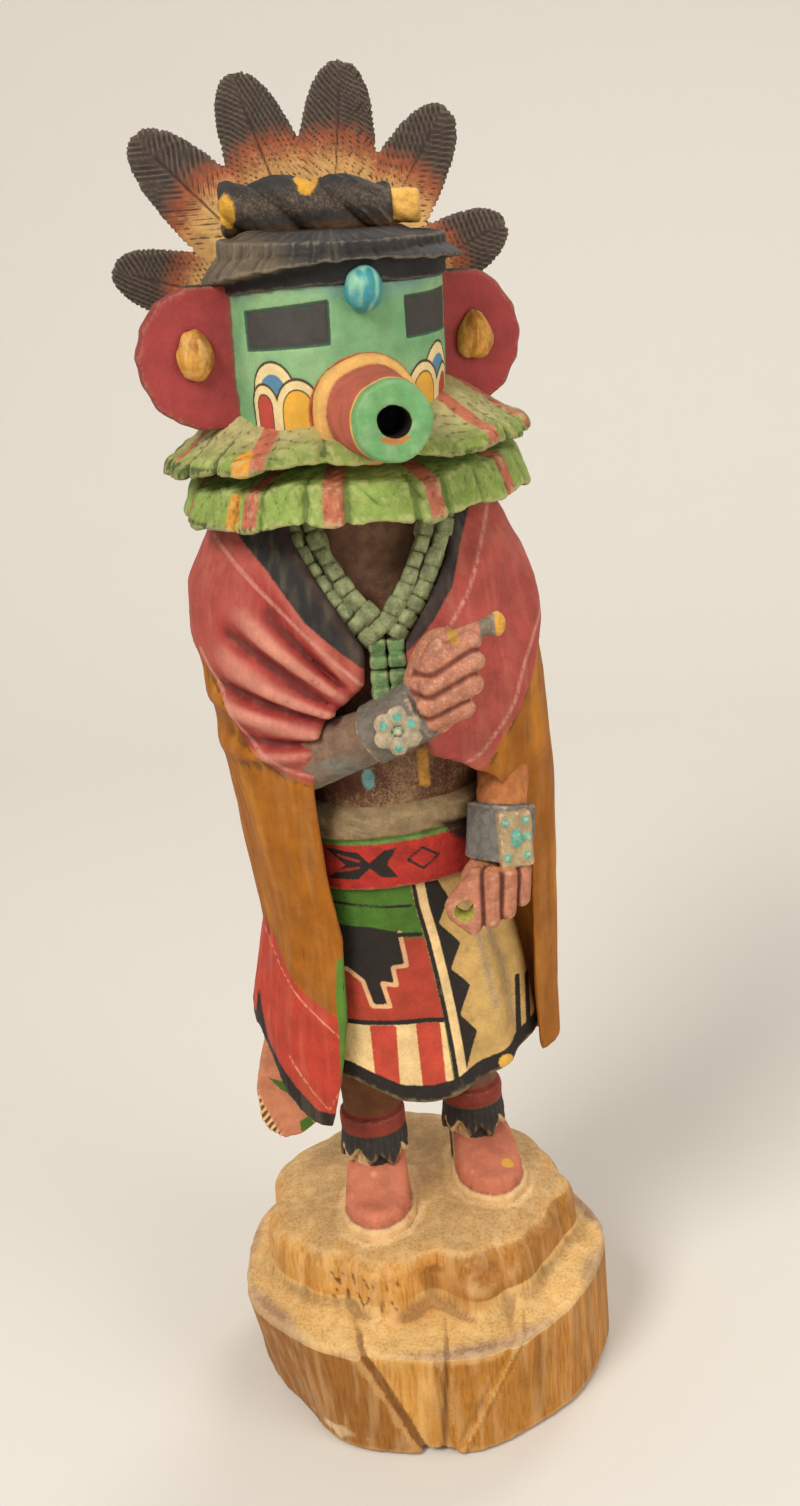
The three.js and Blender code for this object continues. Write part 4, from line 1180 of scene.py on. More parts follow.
@dataclass
class SashEnd(Piece):
    """The fringed end of the sash that hangs below the cape."""

    def shape(self, p: Points) -> Array:
        """A thick cut board with a cloth's slack lower edge."""
        x, y, z = p
        corners = [(-46, 106), (-48.4, 96), (-48, 86), (-46.2, 82), (-41.6, 78.6), (-36, 79.6), (-30, 84),
            (-30, 122), (-41, 122)]
        return soft_max(outline(x, z, corners), np.abs(y - 2) - 4.2, 1.6)

    def marks(self, p: Points) -> Array:
        """Fringe cut along the lower left edge."""
        x, _, z = p
        fringe = ramp((x + 46) * 0.5 + (z - 84) * 0.3, 3.5, 0.5)
        return -0.55 * fringe * (1 - ridges(x * 0.75 - z * 0.66, 1.9)) + 0.1 * noise(p, 2, 36)

    def coats(self, p: Points) -> list[Coat]:
        """A cream fringe with brown cuts, green marks on a salmon field."""
        x, _, z = p
        fringe = (x + 46.5) * 0.62 + (z - 92) * 0.22
        cuts = np.maximum(fringe, 0.28 - (1 - ridges(x * 0.75 - z * 0.66, 1.9)))
        green = outline(x, z, [(-44, 101), (-37.4, 97.6), (-36, 93), (-41, 96.5)])
        corner = outline(x, z, [(-36, 84.6), (-32, 87), (-32, 82), (-36, 80.6)])
        return [
            Coat("fringe", Tint.CREAM, fringe, 0.4, 0.3),
            Coat("cuts", "#7a4a28", cuts * 2, 0.2, 0.3),
            Coat("green", Tint.GREEN, np.minimum(green, corner), 0.3, 0.25),
        ]


# ---- Arms ---------------------------------------------------------------------------------------


def grooves(p: Points, fingers: tuple[Finger, ...], taper: float, reach: float) -> Array:
    """Negative between neighbouring fingers, as far out from them as reach."""
    near = np.sort(np.stack([rod(p, start, end, r, r * taper) for start, end, r in fingers]), axis=0)
    return np.maximum((near[1] - near[0]) - 0.9, near[0] - reach)


@dataclass
class RightArm(Piece):
    """The arm across the chest: forearm, bow guard, and a fist round a broken stick."""

    elbow: Spot = (-21.0, -24.5, 211.0)
    wrist: Spot = (3.0, -41.0, 223.0)
    guard_start: Spot = (-2.6, -39.4, 221.0)
    guard_end: Spot = (12.0, -43.5, 229.0)
    fingers: tuple[Finger, ...] = (
        ((12.4, -47.0, 226.2), (22.2, -48.6, 229.6), 3.2),
        ((13.2, -48.4, 230.8), (24.6, -50.0, 236.2), 3.3),
        ((14.2, -48.4, 235.8), (25.4, -49.6, 242.2), 3.2),
        ((15.6, -47.4, 240.8), (25.2, -48.0, 247.2), 3.1),
    )
    flower: Spot = (4.6, -50.4, 225.2)
    petal_count: int = 6

    def guard(self, p: Points) -> Array:
        """The bow guard round the wrist."""
        u, v, w = into(p, along(self.guard_start, self.guard_end))
        sleeve = (np.abs(u / 7.6) ** 2.6 + np.abs(v / 8.2) ** 2.6) ** (1 / 2.6)
        length = float(np.linalg.norm(np.subtract(self.guard_end, self.guard_start)))
        return soft_max((sleeve - 1) * 7.6, np.abs(w - length / 2) - length / 2, 1.0)

    def petal(self, index: int, reach: float, back: float = 0.0) -> Spot:
        """The middle of one petal, reach from the stud and back behind it."""
        angle = TAU * index / self.petal_count + 0.5
        x, y, z = self.flower
        return x + reach * math.cos(angle), y + back, z + reach * math.sin(angle)

    def petals(self, p: Points) -> Array:
        """Six petals round a stud."""
        flower = egg(p, self.flower, (1.2, 1.4, 1.2))
        for index in range(self.petal_count):
            flower = soft_min(flower, egg(p, self.petal(index, 4.0, 0.6), (2.7, 1.9, 2.7)), 0.25)
        return flower

    def shape(self, p: Points) -> Array:
        """The whole arm with its hand."""
        forearm = rod(p, self.elbow, self.wrist, 9.0, 6.8)
        palm = egg(p, (17.5, -40.5, 236.0), (8.8, 5.2, 11.6))
        back = rod(p, (10.5, -42.5, 230.0), (18.0, -42.0, 244.0), 5.8, 5.4)
        hand = soft_min(palm, back, 3.0)
        for start, end, radius in self.fingers:
            hand = soft_min(hand, rod(p, start, end, radius, radius * 0.92), 0.45)
        thumb = rod(p, (12.0, -45.6, 238.0), (16.6, -47.6, 246.0), 2.6, 2.2)
        hand = soft_min(hand, thumb, 0.8)
        stick = rod(p, (19.5, -45.0, 247.0), (30.2, -46.4, 250.0), 2.0, 2.3)
        end = egg(p, (32.0, -46.6, 250.6), (2.4, 2.6, 3.3))
        support = egg(p, (15.0, -28.0, 230.0), (9.0, 13.0, 16.0))
        arm = soft_min(forearm, soft_min(self.guard(p), hand, 0.5), 0.8)
        arm = soft_min(arm, soft_min(stick, end, 1.2), 0.6)
        return soft_min(soft_min(arm, support, 1.0), self.petals(p), 0.3)

    def marks(self, p: Points) -> Array:
        """Knife marks and chips."""
        return 0.14 * noise(p, 1.6, 41) + 0.08 * noise(p, 0.8, 42)

    def coats(self, p: Points) -> list[Coat]:
        """Skin, the grey guard, its flower and turquoise dots, with painted shade between the fingers."""
        x, _, z = p
        hand = 10.4 - x - 0.45 * (z - 230)
        guard = self.guard(p) - 0.6
        flower = self.petals(p) - 0.25
        dots = egg(p, self.flower, (1.25, 3, 1.25))
        for index in (0, 1, 2, 4):
            dots = np.minimum(dots, egg(p, self.petal(index, 4.2), (1.15, 3, 1.3)))
        teal = np.maximum(np.maximum(0.3 + 0.5 * noise(p, 7, 44), x - 4), z - 212 - 0.5 * (x + 20))
        stick = np.maximum(27.6 - x, 246.5 - z)
        tip = np.maximum(31.6 - x, 246 - z)
        patch = np.hypot(x - 20.8, (z - 248.2) * 1.1) - 1.5
        return [
            Coat("teal", "#71827a", teal, 1.2, 0.8),
            Coat("fist", "#a9694f", hand, 0.4, 0.4),
            Coat("rubs", "#d2ab90", np.maximum(0.3, hand), 1.1, 0.5),
            # Painted shade in the grooves between the fingers.
            Coat("finger_gap_shade", "#743a2a", np.maximum(grooves(p, self.fingers, 0.92, 3.0), hand), 0.5, 0.6),
            Coat("guard", Tint.GREY, np.maximum(guard, x - 13.4 + 0.45 * (z - 229)), 0.25, 0.25),
            Coat("flower", "#a3957a", flower, 0.2, 0.2),
            Coat("dots", Tint.TURQUOISE, dots, 0.25, 0.2),
            Coat("stick", "#7d6f5c", stick, 0.3, 0.3),
            Coat("tip", "#c8902e", tip, 0.4, 0.3),
            Coat("patch", "#b98a3e", patch, 0.4, 0.3),
        ]


@dataclass
class LeftArm(Piece):
    """The hanging arm: forearm, studded cuff, and a fist with an empty grip."""

    elbow: Spot = (36.5, -1.0, 221.0)
    wrist: Spot = (31.5, -25.5, 193.0)
    cuff_end: Spot = (29.6, -29.5, 178.6)
    plaque: Spot = (34.0, -36.0, 186.6)
    fingers: tuple[Finger, ...] = (
        ((22.8, -36.6, 176.4), (21.6, -40.2, 165.8), 2.9),
        ((27.0, -38.4, 177.2), (25.8, -40.8, 165.4), 2.9),
        ((31.2, -38.0, 177.4), (30.2, -39.8, 167.2), 2.8),
        ((35.2, -36.0, 177.0), (34.6, -37.0, 169.4), 2.7),
    )

    def cuff(self, p: Points) -> Array:
        """The wide leather cuff."""
        u, v, w = into(p, along(self.wrist, self.cuff_end))
        length = float(np.linalg.norm(np.subtract(self.cuff_end, self.wrist)))
        sleeve = (np.abs(u / 8.9) ** 2.8 + np.abs(v / 8.2) ** 2.8) ** (1 / 2.8)
        return soft_max((sleeve - 1) * 8.2, np.abs(w - length / 2) - length / 2 - 0.3, 0.9)

    def on_plaque(self, p: Points) -> Points:
        """The same points, measured from the plaque's middle."""
        return into(p, shift_matrix(*self.plaque) @ turn_matrix("X", -13) @ turn_matrix("Z", 10))

    def board(self, p: Points) -> Array:
        """The plaque under the stones."""
        return brick(self.on_plaque(p), (0, 0, 0), (4.6, 1.9, 7.6), 1.0)

    def studs(self, p: Points) -> Array:
        """An oval stone with five small ones round it."""
        q = self.on_plaque(p)
        stones = egg(q, (-0.1, -1.9, 0.4), (1.7, 0.9, 2.4))
        for spot in ((-2.9, -1.9, 4.9), (2.7, -1.9, 5.2), (3.0, -1.9, 0.6), (-2.9, -1.9, -4.8),
            (2.6, -1.9, -4.4)):
            stones = np.minimum(stones, egg(q, spot, (0.95, 0.7, 1.1)))
        return stones

    def grip(self, p: Points) -> Array:
        """The empty hole through the fist."""
        return rod(p, (17.6, -47.0, 167.0), (19.6, -33.0, 172.0), 2.7, 2.2)

    def shape(self, p: Points) -> Array:
        """The whole arm with its hand."""
        forearm = rod(p, self.elbow, self.wrist, 8.0, 6.9)
        hand = egg(p, (28.0, -30.8, 172.6), (9.6, 6.6, 8.6))
        for start, end, radius in self.fingers:
            hand = soft_min(hand, rod(p, start, end, radius, radius * 0.9), 0.4)
        curl = rod(p, (20.6, -38.0, 174.6), (15.8, -39.4, 170.0), 3.0, 2.6)
        thumb = rod(p, (16.2, -39.6, 167.6), (20.6, -40.0, 163.4), 2.5, 2.4)
        hand = soft_min(soft_min(hand, curl, 1.2), thumb, 1.2)
        hand = soft_max(hand, -self.grip(p), 0.5)
        arm = soft_min(forearm, hand, 0.6)
        arm = soft_min(arm, self.cuff(p), 0.4)
        return soft_min(soft_min(arm, self.board(p), 0.3), self.studs(p), 0.15)

    def marks(self, p: Points) -> Array:
        """Knife marks and chips."""
        return 0.14 * noise(p, 1.6, 45) + 0.08 * noise(p, 0.8, 46)

    def coats(self, p: Points) -> list[Coat]:
        """Orange forearm, speckled cuff, tan plaque, turquoise stones, worn fist with painted shade between
        its fingers.
        """
        z = p[2]
        dust = np.maximum(0.35, 195 - z)
        return [
            Coat("fist", "#ab6a4e", z - 179, 0.3, 0.3),
            Coat("rubs", "#c99c80", np.maximum(0.35, z - 179), 1.1, 0.5),
            # Painted shade in the grooves between the fingers.
            Coat("finger_gap_shade", "#5c2a20", np.maximum(grooves(p, self.fingers, 0.9, 2.6), z - 179), 0.3, 0.5),
            Coat("dust", "#c98c4c", dust, 1.2, 0.5),
            Coat("cuff", "#6d6860", self.cuff(p) - 0.35, 0.2, 0.2),
            Coat("board", "#a08a66", self.board(p) - 0.3, 0.2, 0.2),
            Coat("studs", Tint.TURQUOISE, self.studs(p) - 0.15, 0.15, 0.15),
            Coat("hole", "#96923c", self.grip(p) - 0.25, 0.3, 0.3),
        ]


# ---- Ruff ---------------------------------------------------------------------------------------


@dataclass
class RuffTier(Piece):
    """One tier of the leafy ruff: a drooping collar with a notched edge.

    Args:
        centre: Where its middle stands.
        wide: Its half width.
        deep: Its half depth.
        under: The height of its lower face near the edge.
        over: The height of its crown.
        lip: How thick it is at its edge.
        sag: How far it droops at the viewer's left and right.
        leaves: How many leaves it is cut into.
        seed: The seed of its notches.
        stripes: The middles of its painted stripes, in degrees, with their half widths.
        chip: Where its raw chip is, in degrees, and how big.
        dusty: The colour of the dust near the mask.
        dust: The share of the half width where the dust ends.
    """

    centre: Corner = (-2.5, -3.0)
    wide: float = 49.0
    deep: float = 46.0
    under: float = 294.0
    over: float = 309.0
    lip: float = 4.6
    sag: Corner = (6.0, 2.2)
    leaves: int = 22
    seed: int = 51
    stripes: tuple[Corner, ...] = ()
    chip: Corner = (-122.0, 2.6)
    dusty: str = "#a89f6a"
    dust: float = 0.9

    def polar(self, p: Points) -> Points:
        """The angle, the share of the half width, and the height above the droop."""
        x, y, z = p
        angle = np.arctan2((y - self.centre[1]) / self.deep, (x - self.centre[0]) / self.wide)
        share = np.hypot((x - self.centre[0]) / self.wide, (y - self.centre[1]) / self.deep)
        droop = self.sag[0] * bump(angle, math.pi, 1.3) + self.sag[1] * bump(angle, 0, 1.3)
        return angle, share, z + droop * ramp(share, 0.5, 1.0)

    def cuts(self, angle: Array) -> Array:
        """How deep the edge is notched at each angle, from 0 at a leaf's middle to 1 in a notch."""
        warp = angle + 0.05 * np.sin(5 * angle + self.seed) + 0.03 * np.sin(11 * angle)
        saw = np.abs(np.sin(0.5 * self.leaves * warp))
        big = 0.5 + 0.5 * np.cos(3 * angle + self.seed)
        return (1 - saw) ** 3 * (0.4 + 0.6 * big)

    def shape(self, p: Points) -> Array:
        """A thick sheet that falls outwards to a thin rippled edge."""
        angle, share, z = self.polar(p)
        rim = 1 - 0.03 * self.cuts(angle) + 0.008 * np.cos(9 * angle + self.seed)
        rim = rim - 0.0075 * np.clip(z - self.under, 0, 30)
        away = (share - rim) * self.wide
        ripple = 0.7 * np.cos(0.5 * self.leaves * angle + self.seed) * ramp(share, 0.7, 1.0)
        ripple = ripple + 0.7 * np.cos(5 * angle + 2 * self.seed)
        top = self.under + self.lip + (self.over - self.under - self.lip) * (1 - ramp(share, 0.5,
            1.0)) + ripple
        low = self.under + 1.6 * ramp(share, 1.0, 0.6) + ripple
        return soft_max(away, np.maximum(z - top, low - z) * 0.9, 1.4)

    def marks(self, p: Points) -> Array:
        """Leaf cuts that run outwards, with slanting veins."""
        angle, share, _ = self.polar(p)
        cut = self.cuts(angle) * ramp(share, 0.62, 0.95)
        warp = angle + 0.05 * np.sin(5 * angle + self.seed) + 0.03 * np.sin(11 * angle)
        slant = np.abs(np.mod(warp * self.leaves / TAU, 1) - 0.5) * 2
        veins = (1 - ridges(share * self.wide + 5 * slant, 3.1)) ** 4 * ramp(share, 0.6, 0.8)
        return -1.1 * cut - 0.4 * veins + 0.25 * noise(p, 2.4, self.seed) + 0.12 * noise(p, 1.1,
            self.seed + 1)

    def coats(self, p: Points) -> list[Coat]:
        """Mottled green, salmon stripes that run outwards, raw chips at the edge and painted shade on the
        lower face.
        """
        z = p[2]
        angle, share, _ = self.polar(p)
        away = [
            np.abs(np.arctan2(np.sin(angle - math.radians(a)), np.cos(angle - math.radians(a)))) * share
                * self.wide - w
            for a, w in self.stripes
        ]
        stripes = np.where(share > 0.42, np.minimum.reduce(away), 9.0)
        pale = 0.2 - noise(p, 7, self.seed + 2)
        chips = np.hypot((angle - math.radians(self.chip[0])) * self.wide, (share - 0.97) * 30) - self.chip[1]
        return [
            Coat("pale", "#8b9a4e", pale * 7, 1.5, 5.0),
            Coat("dust", self.dusty, (share - self.dust) * 60, 3.0, 6.0),
            Coat("stripes", "#b0644a", stripes, 0.35, 0.4),
            # Painted shade: darker green on the lower face and the low drooping sides.
            Coat("under", "#4c5a2a", z - self.under - 0.2, 0.5, 0.6),
            Coat("chips", "#c98a30", chips, 0.9, 0.4),
        ]


# ---- Head ---------------------------------------------------------------------------------------


HAIR_ROWS = (
    (30, 0, 0, 33.2, 30.8), (36, -0.2, 0.2, 33.0, 30.8), (39, -0.5, 0.8, 30.8, 29.2), (45, -1, 3, 25.2, 22.8),
    (48.8, -1.2, 5, 21.4, 18.6),
)
HAIR_TOP = 48.8
MASK_RADIUS = 27
HAIR_EDGE = 34.8


def hair_edge(angle: Array) -> Array:
    """The height of the fringe's edge, which rises over the brow."""
    rise = 7.6 * bump(angle, FRONT, 2.2) + 3.6 * bump(angle, 0, 1.3)
    return HAIR_EDGE + rise + 0.15 * np.cos(23 * angle) + 0.12 * np.cos(37 * angle + 1)


def hair_crown(p: Points) -> Array:
    """The crown of the hair, squeezed upwards where the fringe rises."""
    x, y, z = p
    edge = hair_edge(np.arctan2(y, x))
    squeezed = HAIR_TOP - (HAIR_TOP - z) * (HAIR_TOP - HAIR_EDGE) / (HAIR_TOP - edge)
    return loft((x, y, np.maximum(squeezed, HAIR_EDGE)), list(HAIR_ROWS), 2.5, 2.0)


HEAD = shift_matrix(-3.5, -12.5, 300.0) @ turn_matrix("Z", 16.0) @ turn_matrix("Y", 2.5)


@dataclass
class Mask(Piece):
    """The case mask with its plate ears."""

    def ear(self, p: Points, side: int) -> Array:
        """One ear plate."""
        x, y, z = p
        reach = 52 if side < 0 else 50
        half = [
            (18, 35), (30, 36.4), (39, 36), (reach - 6, 32.5), (reach - 1.6, 26.5), (reach, 19.5),
                (reach - 1.2, 13),
            (reach - 4.5, 7), (reach - 9.5, 3.2), (reach - 15, 1.4), (18, 1),
        ]
        corners = [(side * u, v) for u, v in half]
        flat = outline(x, z, corners)
        wavy = 0.12 * np.cos(0.9 * z) + 0.12 * np.cos(0.7 * x + 1)
        return soft_max(flat - wavy - 0.6, np.abs(y) - 3.0, 1.3)

    def shape(self, p: Points) -> Array:
        """An upright drum, flat ears, and a seat for the snout."""
        x, y, z = p
        drum = loft(p, [(-7, 0.4, 0, 26.6, 25.6), (14, 0.2, 0, 28, 26.6), (40, 0, 0, 28, 26.6)], 2.15, 1.2)
        head = soft_min(drum, soft_min(self.ear(p, -1), self.ear(p, 1), 0.5), 0.9)
        seat = np.maximum(np.hypot(x, z - 6) - 13.2, np.maximum(y + 22.3, -60 - y))
        return soft_max(head, -seat, 0.3)

    def marks(self, p: Points) -> Array:
        """Flat knife facets, outlines pressed into the eyes, fine scratches."""
        x, y, z = p
        s = np.arctan2(x, -y) * MASK_RADIUS
        face = y < -4
        eyes = np.where(face, self.eyes(s, z), 9)
        pressed = -0.55 * ramp(np.abs(eyes), 0.55, 0.0) - 0.25 * ramp(eyes, 0.2, -0.4)
        drawn = -0.3 * ramp(np.abs(self.arches(s, z)[0]), 0.4, 0.0) * face
        return pressed + drawn + 0.14 * noise((x, y, z / 2), 2.6, 61) + 0.06 * noise(p, 0.9, 62)

    @staticmethod
    def eyes(s: Array, z: Array) -> Array:
        """The two rectangular eyes on the unrolled face."""
        left = outline(s, z, [(-31.8, 30.2), (-8.9, 32.8), (-8.9, 22.8), (-31.4, 21.2)])
        right = outline(s, z, [(12.0, 32.6), (33.4, 33.4), (33.4, 23.8), (12.2, 23.0)])
        return np.minimum(left, right)

    @staticmethod
    def arch(s: Array, z: Array, middle: float, half: float, top: float, low: float) -> Array:
        """A round-topped arch."""
        across = (s - middle) / half
        return np.maximum((np.hypot(across, np.clip(z - top + 1.35 * half, 0, 99) / (1.35 * half)) - 1)
            * half, low - z)

    def arches(self, s: Array, z: Array) -> list[Array]:
        """The cheek marks on both sides: upper, outer and inner arches."""
        mirrored = np.abs(s)
        lift = np.where(s > 0, 2.2, 0.0)
        height = z - lift
        upper = self.arch(mirrored, height, 24.2, 6.4, 18.4, 5.0)
        outer = self.arch(mirrored, height, 27.2, 4.2, 12.8, -2.0)
        inner = self.arch(mirrored, height, 17.6, 6.0, 14.2, -2.0)
        return [np.minimum(np.minimum(upper, outer), inner), upper, outer, inner]

    def coats(self, p: Points) -> list[Coat]:
        """Mint face, red ears with sooty rims, black eyes and painted cheeks."""
        x, y, z = p
        s = np.arctan2(x, -y) * MASK_RADIUS
        face = np.where(y < -3.4, 0.0, 60.0)
        far = np.hypot(x, y)
        ears = np.where(np.abs(x) > 20, 28.3 - far + np.where(np.abs(y) < 3.3, -0.4, 6), 9)
        ears = np.where(y > -3.6, ears, np.abs(ears) + 2)
        plate = np.minimum(self.ear(p, -1), self.ear(p, 1)) - 0.5
        plate = np.maximum(plate, 27.4 - np.abs(x) - 0.2 * np.abs(y))
        rim = -(np.minimum(self.ear((x, 0 * y, z), -1), self.ear((x, 0 * y, z), 1)) + 1.1)
        rim = np.maximum(np.maximum(rim, plate), 34 - np.abs(x))
        all_arches, upper, outer, inner = self.arches(s, z)
        lower = np.minimum(outer, inner)
        ring = np.hypot(x, z - 6)
        return [
            Coat("blue_top", "#6d9080", 33.5 - z, 1.0, 2.2),
            Coat("light", "#86aa78", (0.3 - noise(p, 9, 63)) * 6, 1.0, 3.0),
            Coat("back", "#2b2622", np.maximum(2 - y, 24 - far), 0.4, 0.5),
            Coat("plate", "#983a38", plate, 0.3, 0.3),
            Coat("rim", "#6b2f26", rim + 0.7, 0.5, 0.6),
            Coat("eyes_line", "#3d5a44", self.eyes(s, z) - 0.55 + face, 0.1, 0.15),
            Coat("eyes", "#423e3b", self.eyes(s, z) + face, 0.12, 0.12),
            Coat("arch_line", "#4a3a28", all_arches - 0.3 + face, 0.1, 0.15),
            Coat("arch_upper", "#ddc690", upper + 0.2 + face, 0.1, 0.15),
            Coat("arch_blue", "#54809a", upper + 2.2 + face, 0.12, 0.15),
            Coat("arch_line2", "#4a3a28", lower - 0.3 + face, 0.1, 0.15),
            Coat("arch_lower", "#ddc690", lower + 0.2 + face, 0.1, 0.15),
            Coat("arch_line3", "#4a3a28", lower + 1.7 + face, 0.1, 0.15),
            Coat("arch_red", "#b04638", outer + 2.0 + face, 0.1, 0.15),
            Coat("arch_yellow", "#d9a23c", inner + 2.0 + face, 0.1, 0.15),
            Coat("seat", "#b0573f", ring - 14.2 + face, 0.3, 0.3),
            Coat("brow", Tint.SOOT, 36.5 - z, 0.3, 0.25),
        ]


@dataclass
class Hair(Piece):
    """The black hair slab with its thick fringe over the brow."""

    def shape(self, p: Points) -> Array:
        """A low crown that slopes out to an overhanging fringe, over a plain brow band."""
        x, y, z = p
        angle = np.arctan2(y, x)
        crown = soft_max(hair_crown(p), hair_edge(angle) - z, 1.0)
        brow = loft(p, [(30, 0, 0, 29.0, 27.6), (47, 0, 0, 29.0, 27.6)], 2.15, 0.6)
        edge = 33.2 + 3.8 * bump(angle, FRONT, 2.0) + 2.8 * bump(angle, 0, 1.3) + 0.1 * np.cos(19 * angle)
        brow = np.maximum(brow, edge - z)
        roll = rod(into(p, np.linalg.inv(HEAD)), (-29, -9, 355.3), (22, -9, 352.4), 6.9, 6.9)
        return soft_max(soft_min(crown, brow, 0.4), -roll, 0.4)

    def marks(self, p: Points) -> Array:
        """Fine locks that run down and outwards."""
        x, y, z = p
        angle = np.arctan2(y - 2, x + 0.5)
        locks = 0.3 * noise(wound(angle, 60, z / 8), 1.6, 64)
        locks = locks + 0.35 * noise(wound(angle, 30, z / 8), 2.6, 65)
        return locks * ramp(np.hypot(x, y), 10, 18) * ramp(z - hair_edge(angle), -0.5, 2.0)

    def coats(self, p: Points) -> list[Coat]:
        """A dusty side, pale rubs on the fringe and a black brow band."""
        x, y, z = p
        angle = np.arctan2(y, x)
        rubs = 0.42 - noise(wound(angle, 60, z / 6), 1.8, 66)
        dusty = np.hypot(x + 27, z - 42) - 10
        brow = z - hair_edge(angle)
        return [
            Coat("dusty", "#6b5c48", dusty + 2, 2.0, 7.0),
            Coat("rubs", "#4c453d", rubs * 2.0, 0.3, 0.9),
            Coat("brow_band", "#1c1a19", brow + 0.4, 0.3, 0.4),
        ]


@dataclass
class Snout(Piece):
    """The tube snout: a yellow collar, a red barrel and a green face with a bore."""

    def shape(self, p: Points) -> Array:
        """A turned tube along -Y with a deep bore."""
        x, y, z = p
        r = np.hypot(x, z - 6)
        out = -y
        wall = np.interp(out, [22.5, 26.5, 28.6, 29.6, 36, 46, 49.5],
            [13.4, 13.9, 13.4, 11.3, 10.7, 10.2, 9.8])
        wall = wall + 0.12 * np.cos(5 * np.arctan2(z - 6, x))
        body = soft_max(r - wall, np.maximum(22.5 - out, out - 49.5), 0.8)
        bore = np.maximum(r - 4.1 - 0.3 * np.cos(2 * np.arctan2(z - 6, x) + 0.6), 37 - out)
        return soft_max(body, -bore, 0.4)

    def marks(self, p: Points) -> Array:
        """Whittled facets."""
        return 0.16 * noise(p, 3.0, 71) + 0.06 * noise(p, 0.9, 72)

    def coats(self, p: Points) -> list[Coat]:
        """Rings of yellow, red and green, and near-black painted shade within the bore."""
        x, y, z = p
        r = np.hypot(x, z - 6)
        out = -y
        worn = np.maximum(np.abs(r - 4.6) - 0.9, z - 2.6)
        return [
            Coat("collar", "#d8a65e", np.maximum(out - 29.6, 11.2 - r), 0.4, 0.35),
            Coat("ring", "#d7a85a", np.abs(out - 46.2) - 0.55, 0.3, 0.25),
            Coat("face", "#6a9d64", 46.8 - out, 0.25, 0.25),
            Coat("face_dust", "#7da672", np.maximum(48.6 - out, (0.2 - noise(p, 3, 74)) * 3), 0.5, 1.0),
            Coat("lip", "#a8743c", np.maximum(worn, 46 - out), 0.3, 0.3),
            # Painted shade: the inside of the bore is near black.
            Coat("bore", "#1d1512", np.maximum(r - 4.9, out - 49.0), 0.1, 0.25),
        ]


@dataclass
class Pebble(Piece):
    """A small rounded boss: the forehead bead or an ear knob.

    Args:
        centre: Its middle.
        radii: Its half sizes.
        narrow: How much it narrows towards its top, for a pear shape.
        flat: The plane behind which it is cut off, or None.
    """

    centre: Spot = (0.0, 0.0, 0.0)
    radii: Spot = (4.0, 4.0, 5.0)
    narrow: float = 0.0
    flat: float | None = None

    def shape(self, p: Points) -> Array:
        """An uneven egg, cut flat where it is glued."""
        x, y, z = p
        up = (z - self.centre[2]) / self.radii[2]
        squeeze = 1 + self.narrow * up
        middle = (x - self.centre[0]) * squeeze + self.centre[0]
        body = egg((middle, y, z), self.centre, self.radii) + 0.12 * np.cos(0.9 * x + 0.8 * z)
        return body if self.flat is None else soft_max(body, y - self.flat, 0.4)

    def marks(self, p: Points) -> Array:
        """Knife facets, deeper on the knobs than on the bead."""
        depth = 0.28 if self.flat is not None else 0.1
        return depth * noise(p, (1.6, 2.5, 4.0), 75) + 0.06 * noise(p, 0.8, 76)

    def coats(self, p: Points) -> list[Coat]:
        """Streaks of darker wood, or a pale bloom on the bead."""
        share = 0.25 - noise(p, (1.4, 2.5, 5.0), 77)
        tone = "#a06a26" if self.flat is not None else "#8cc0a2"
        return [Coat("streaks", tone, share * 2.0, 0.5, 0.8)]


@dataclass
class TwistRoll(Piece):
    """The black twisted roll on the crown, with a bare cut end."""

    start: Spot = (-29.0, -9.0, 355.3)
    length: float = 51.0
    radius: float = 6.6

    def local(self, p: Points) -> tuple[Array, Array, Array]:
        """How far along the roll, how far from its axis, and the angle round it."""
        x, y, z = p
        along_it = x - self.start[0]
        v = z - (self.start[2] - 0.0588 * along_it)
        return along_it, np.hypot(y - self.start[1], v), np.arctan2(v, y - self.start[1])

    def shape(self, p: Points) -> Array:
        """Two strands wound round each other, flattened underneath."""
        t, r, angle = self.local(p)
        share = np.clip(t / self.length, 0, 1)
        bare = ramp(share, 0.845, 0.865)
        swell = 0.82 + 0.2 * np.sin(math.pi * np.clip(share / 0.86, 0, 1)) ** 0.7
        twist = angle - TAU * 1.55 * share + 1.4
        lobe = 0.80 + 0.46 * np.abs(np.cos(twist)) ** 0.8
        wall = self.radius * ((1 - bare) * swell * lobe + bare * 0.66)
        body = soft_max(r - wall, np.maximum(-t, t - self.length), 1.3)
        q = into(p, HEAD)
        return soft_max(body, -(hair_crown(q) + 0.8), 0.4)

    def marks(self, p: Points) -> Array:
        """Gouge strokes that follow the twist."""
        t, _, angle = self.local(p)
        follow = angle * 4.2 - t * 0.8
        return 0.28 * noise((follow, t / 5, 0 * t + 1), 1.1, 81) + 0.12 * noise(p, 1.2, 82)

    def coats(self, p: Points) -> list[Coat]:
        """Brown underneath, a bare yellow end and worn chips."""
        x, _, z = p
        t = self.local(p)[0]
        chips = np.minimum(np.hypot(x + 27.5, (z - 355) * 0.7) - 2.6, np.hypot(x + 6.4, z - 360.5) - 2.6)
        return [
            Coat("dust", "#8f7355", 0.5 + 0.03 * (356 - z) ** 2, 1.5, 1.0),
            Coat("under", "#6b4c34", z - 350.0, 1.2, 2.5),
            Coat("bare", "#d9a650", self.length * 0.862 - t, 0.3, 0.25),
            Coat("chips", "#c9942e", chips + 0.8 * noise(p, 2, 83), 0.6, 0.4),
        ]


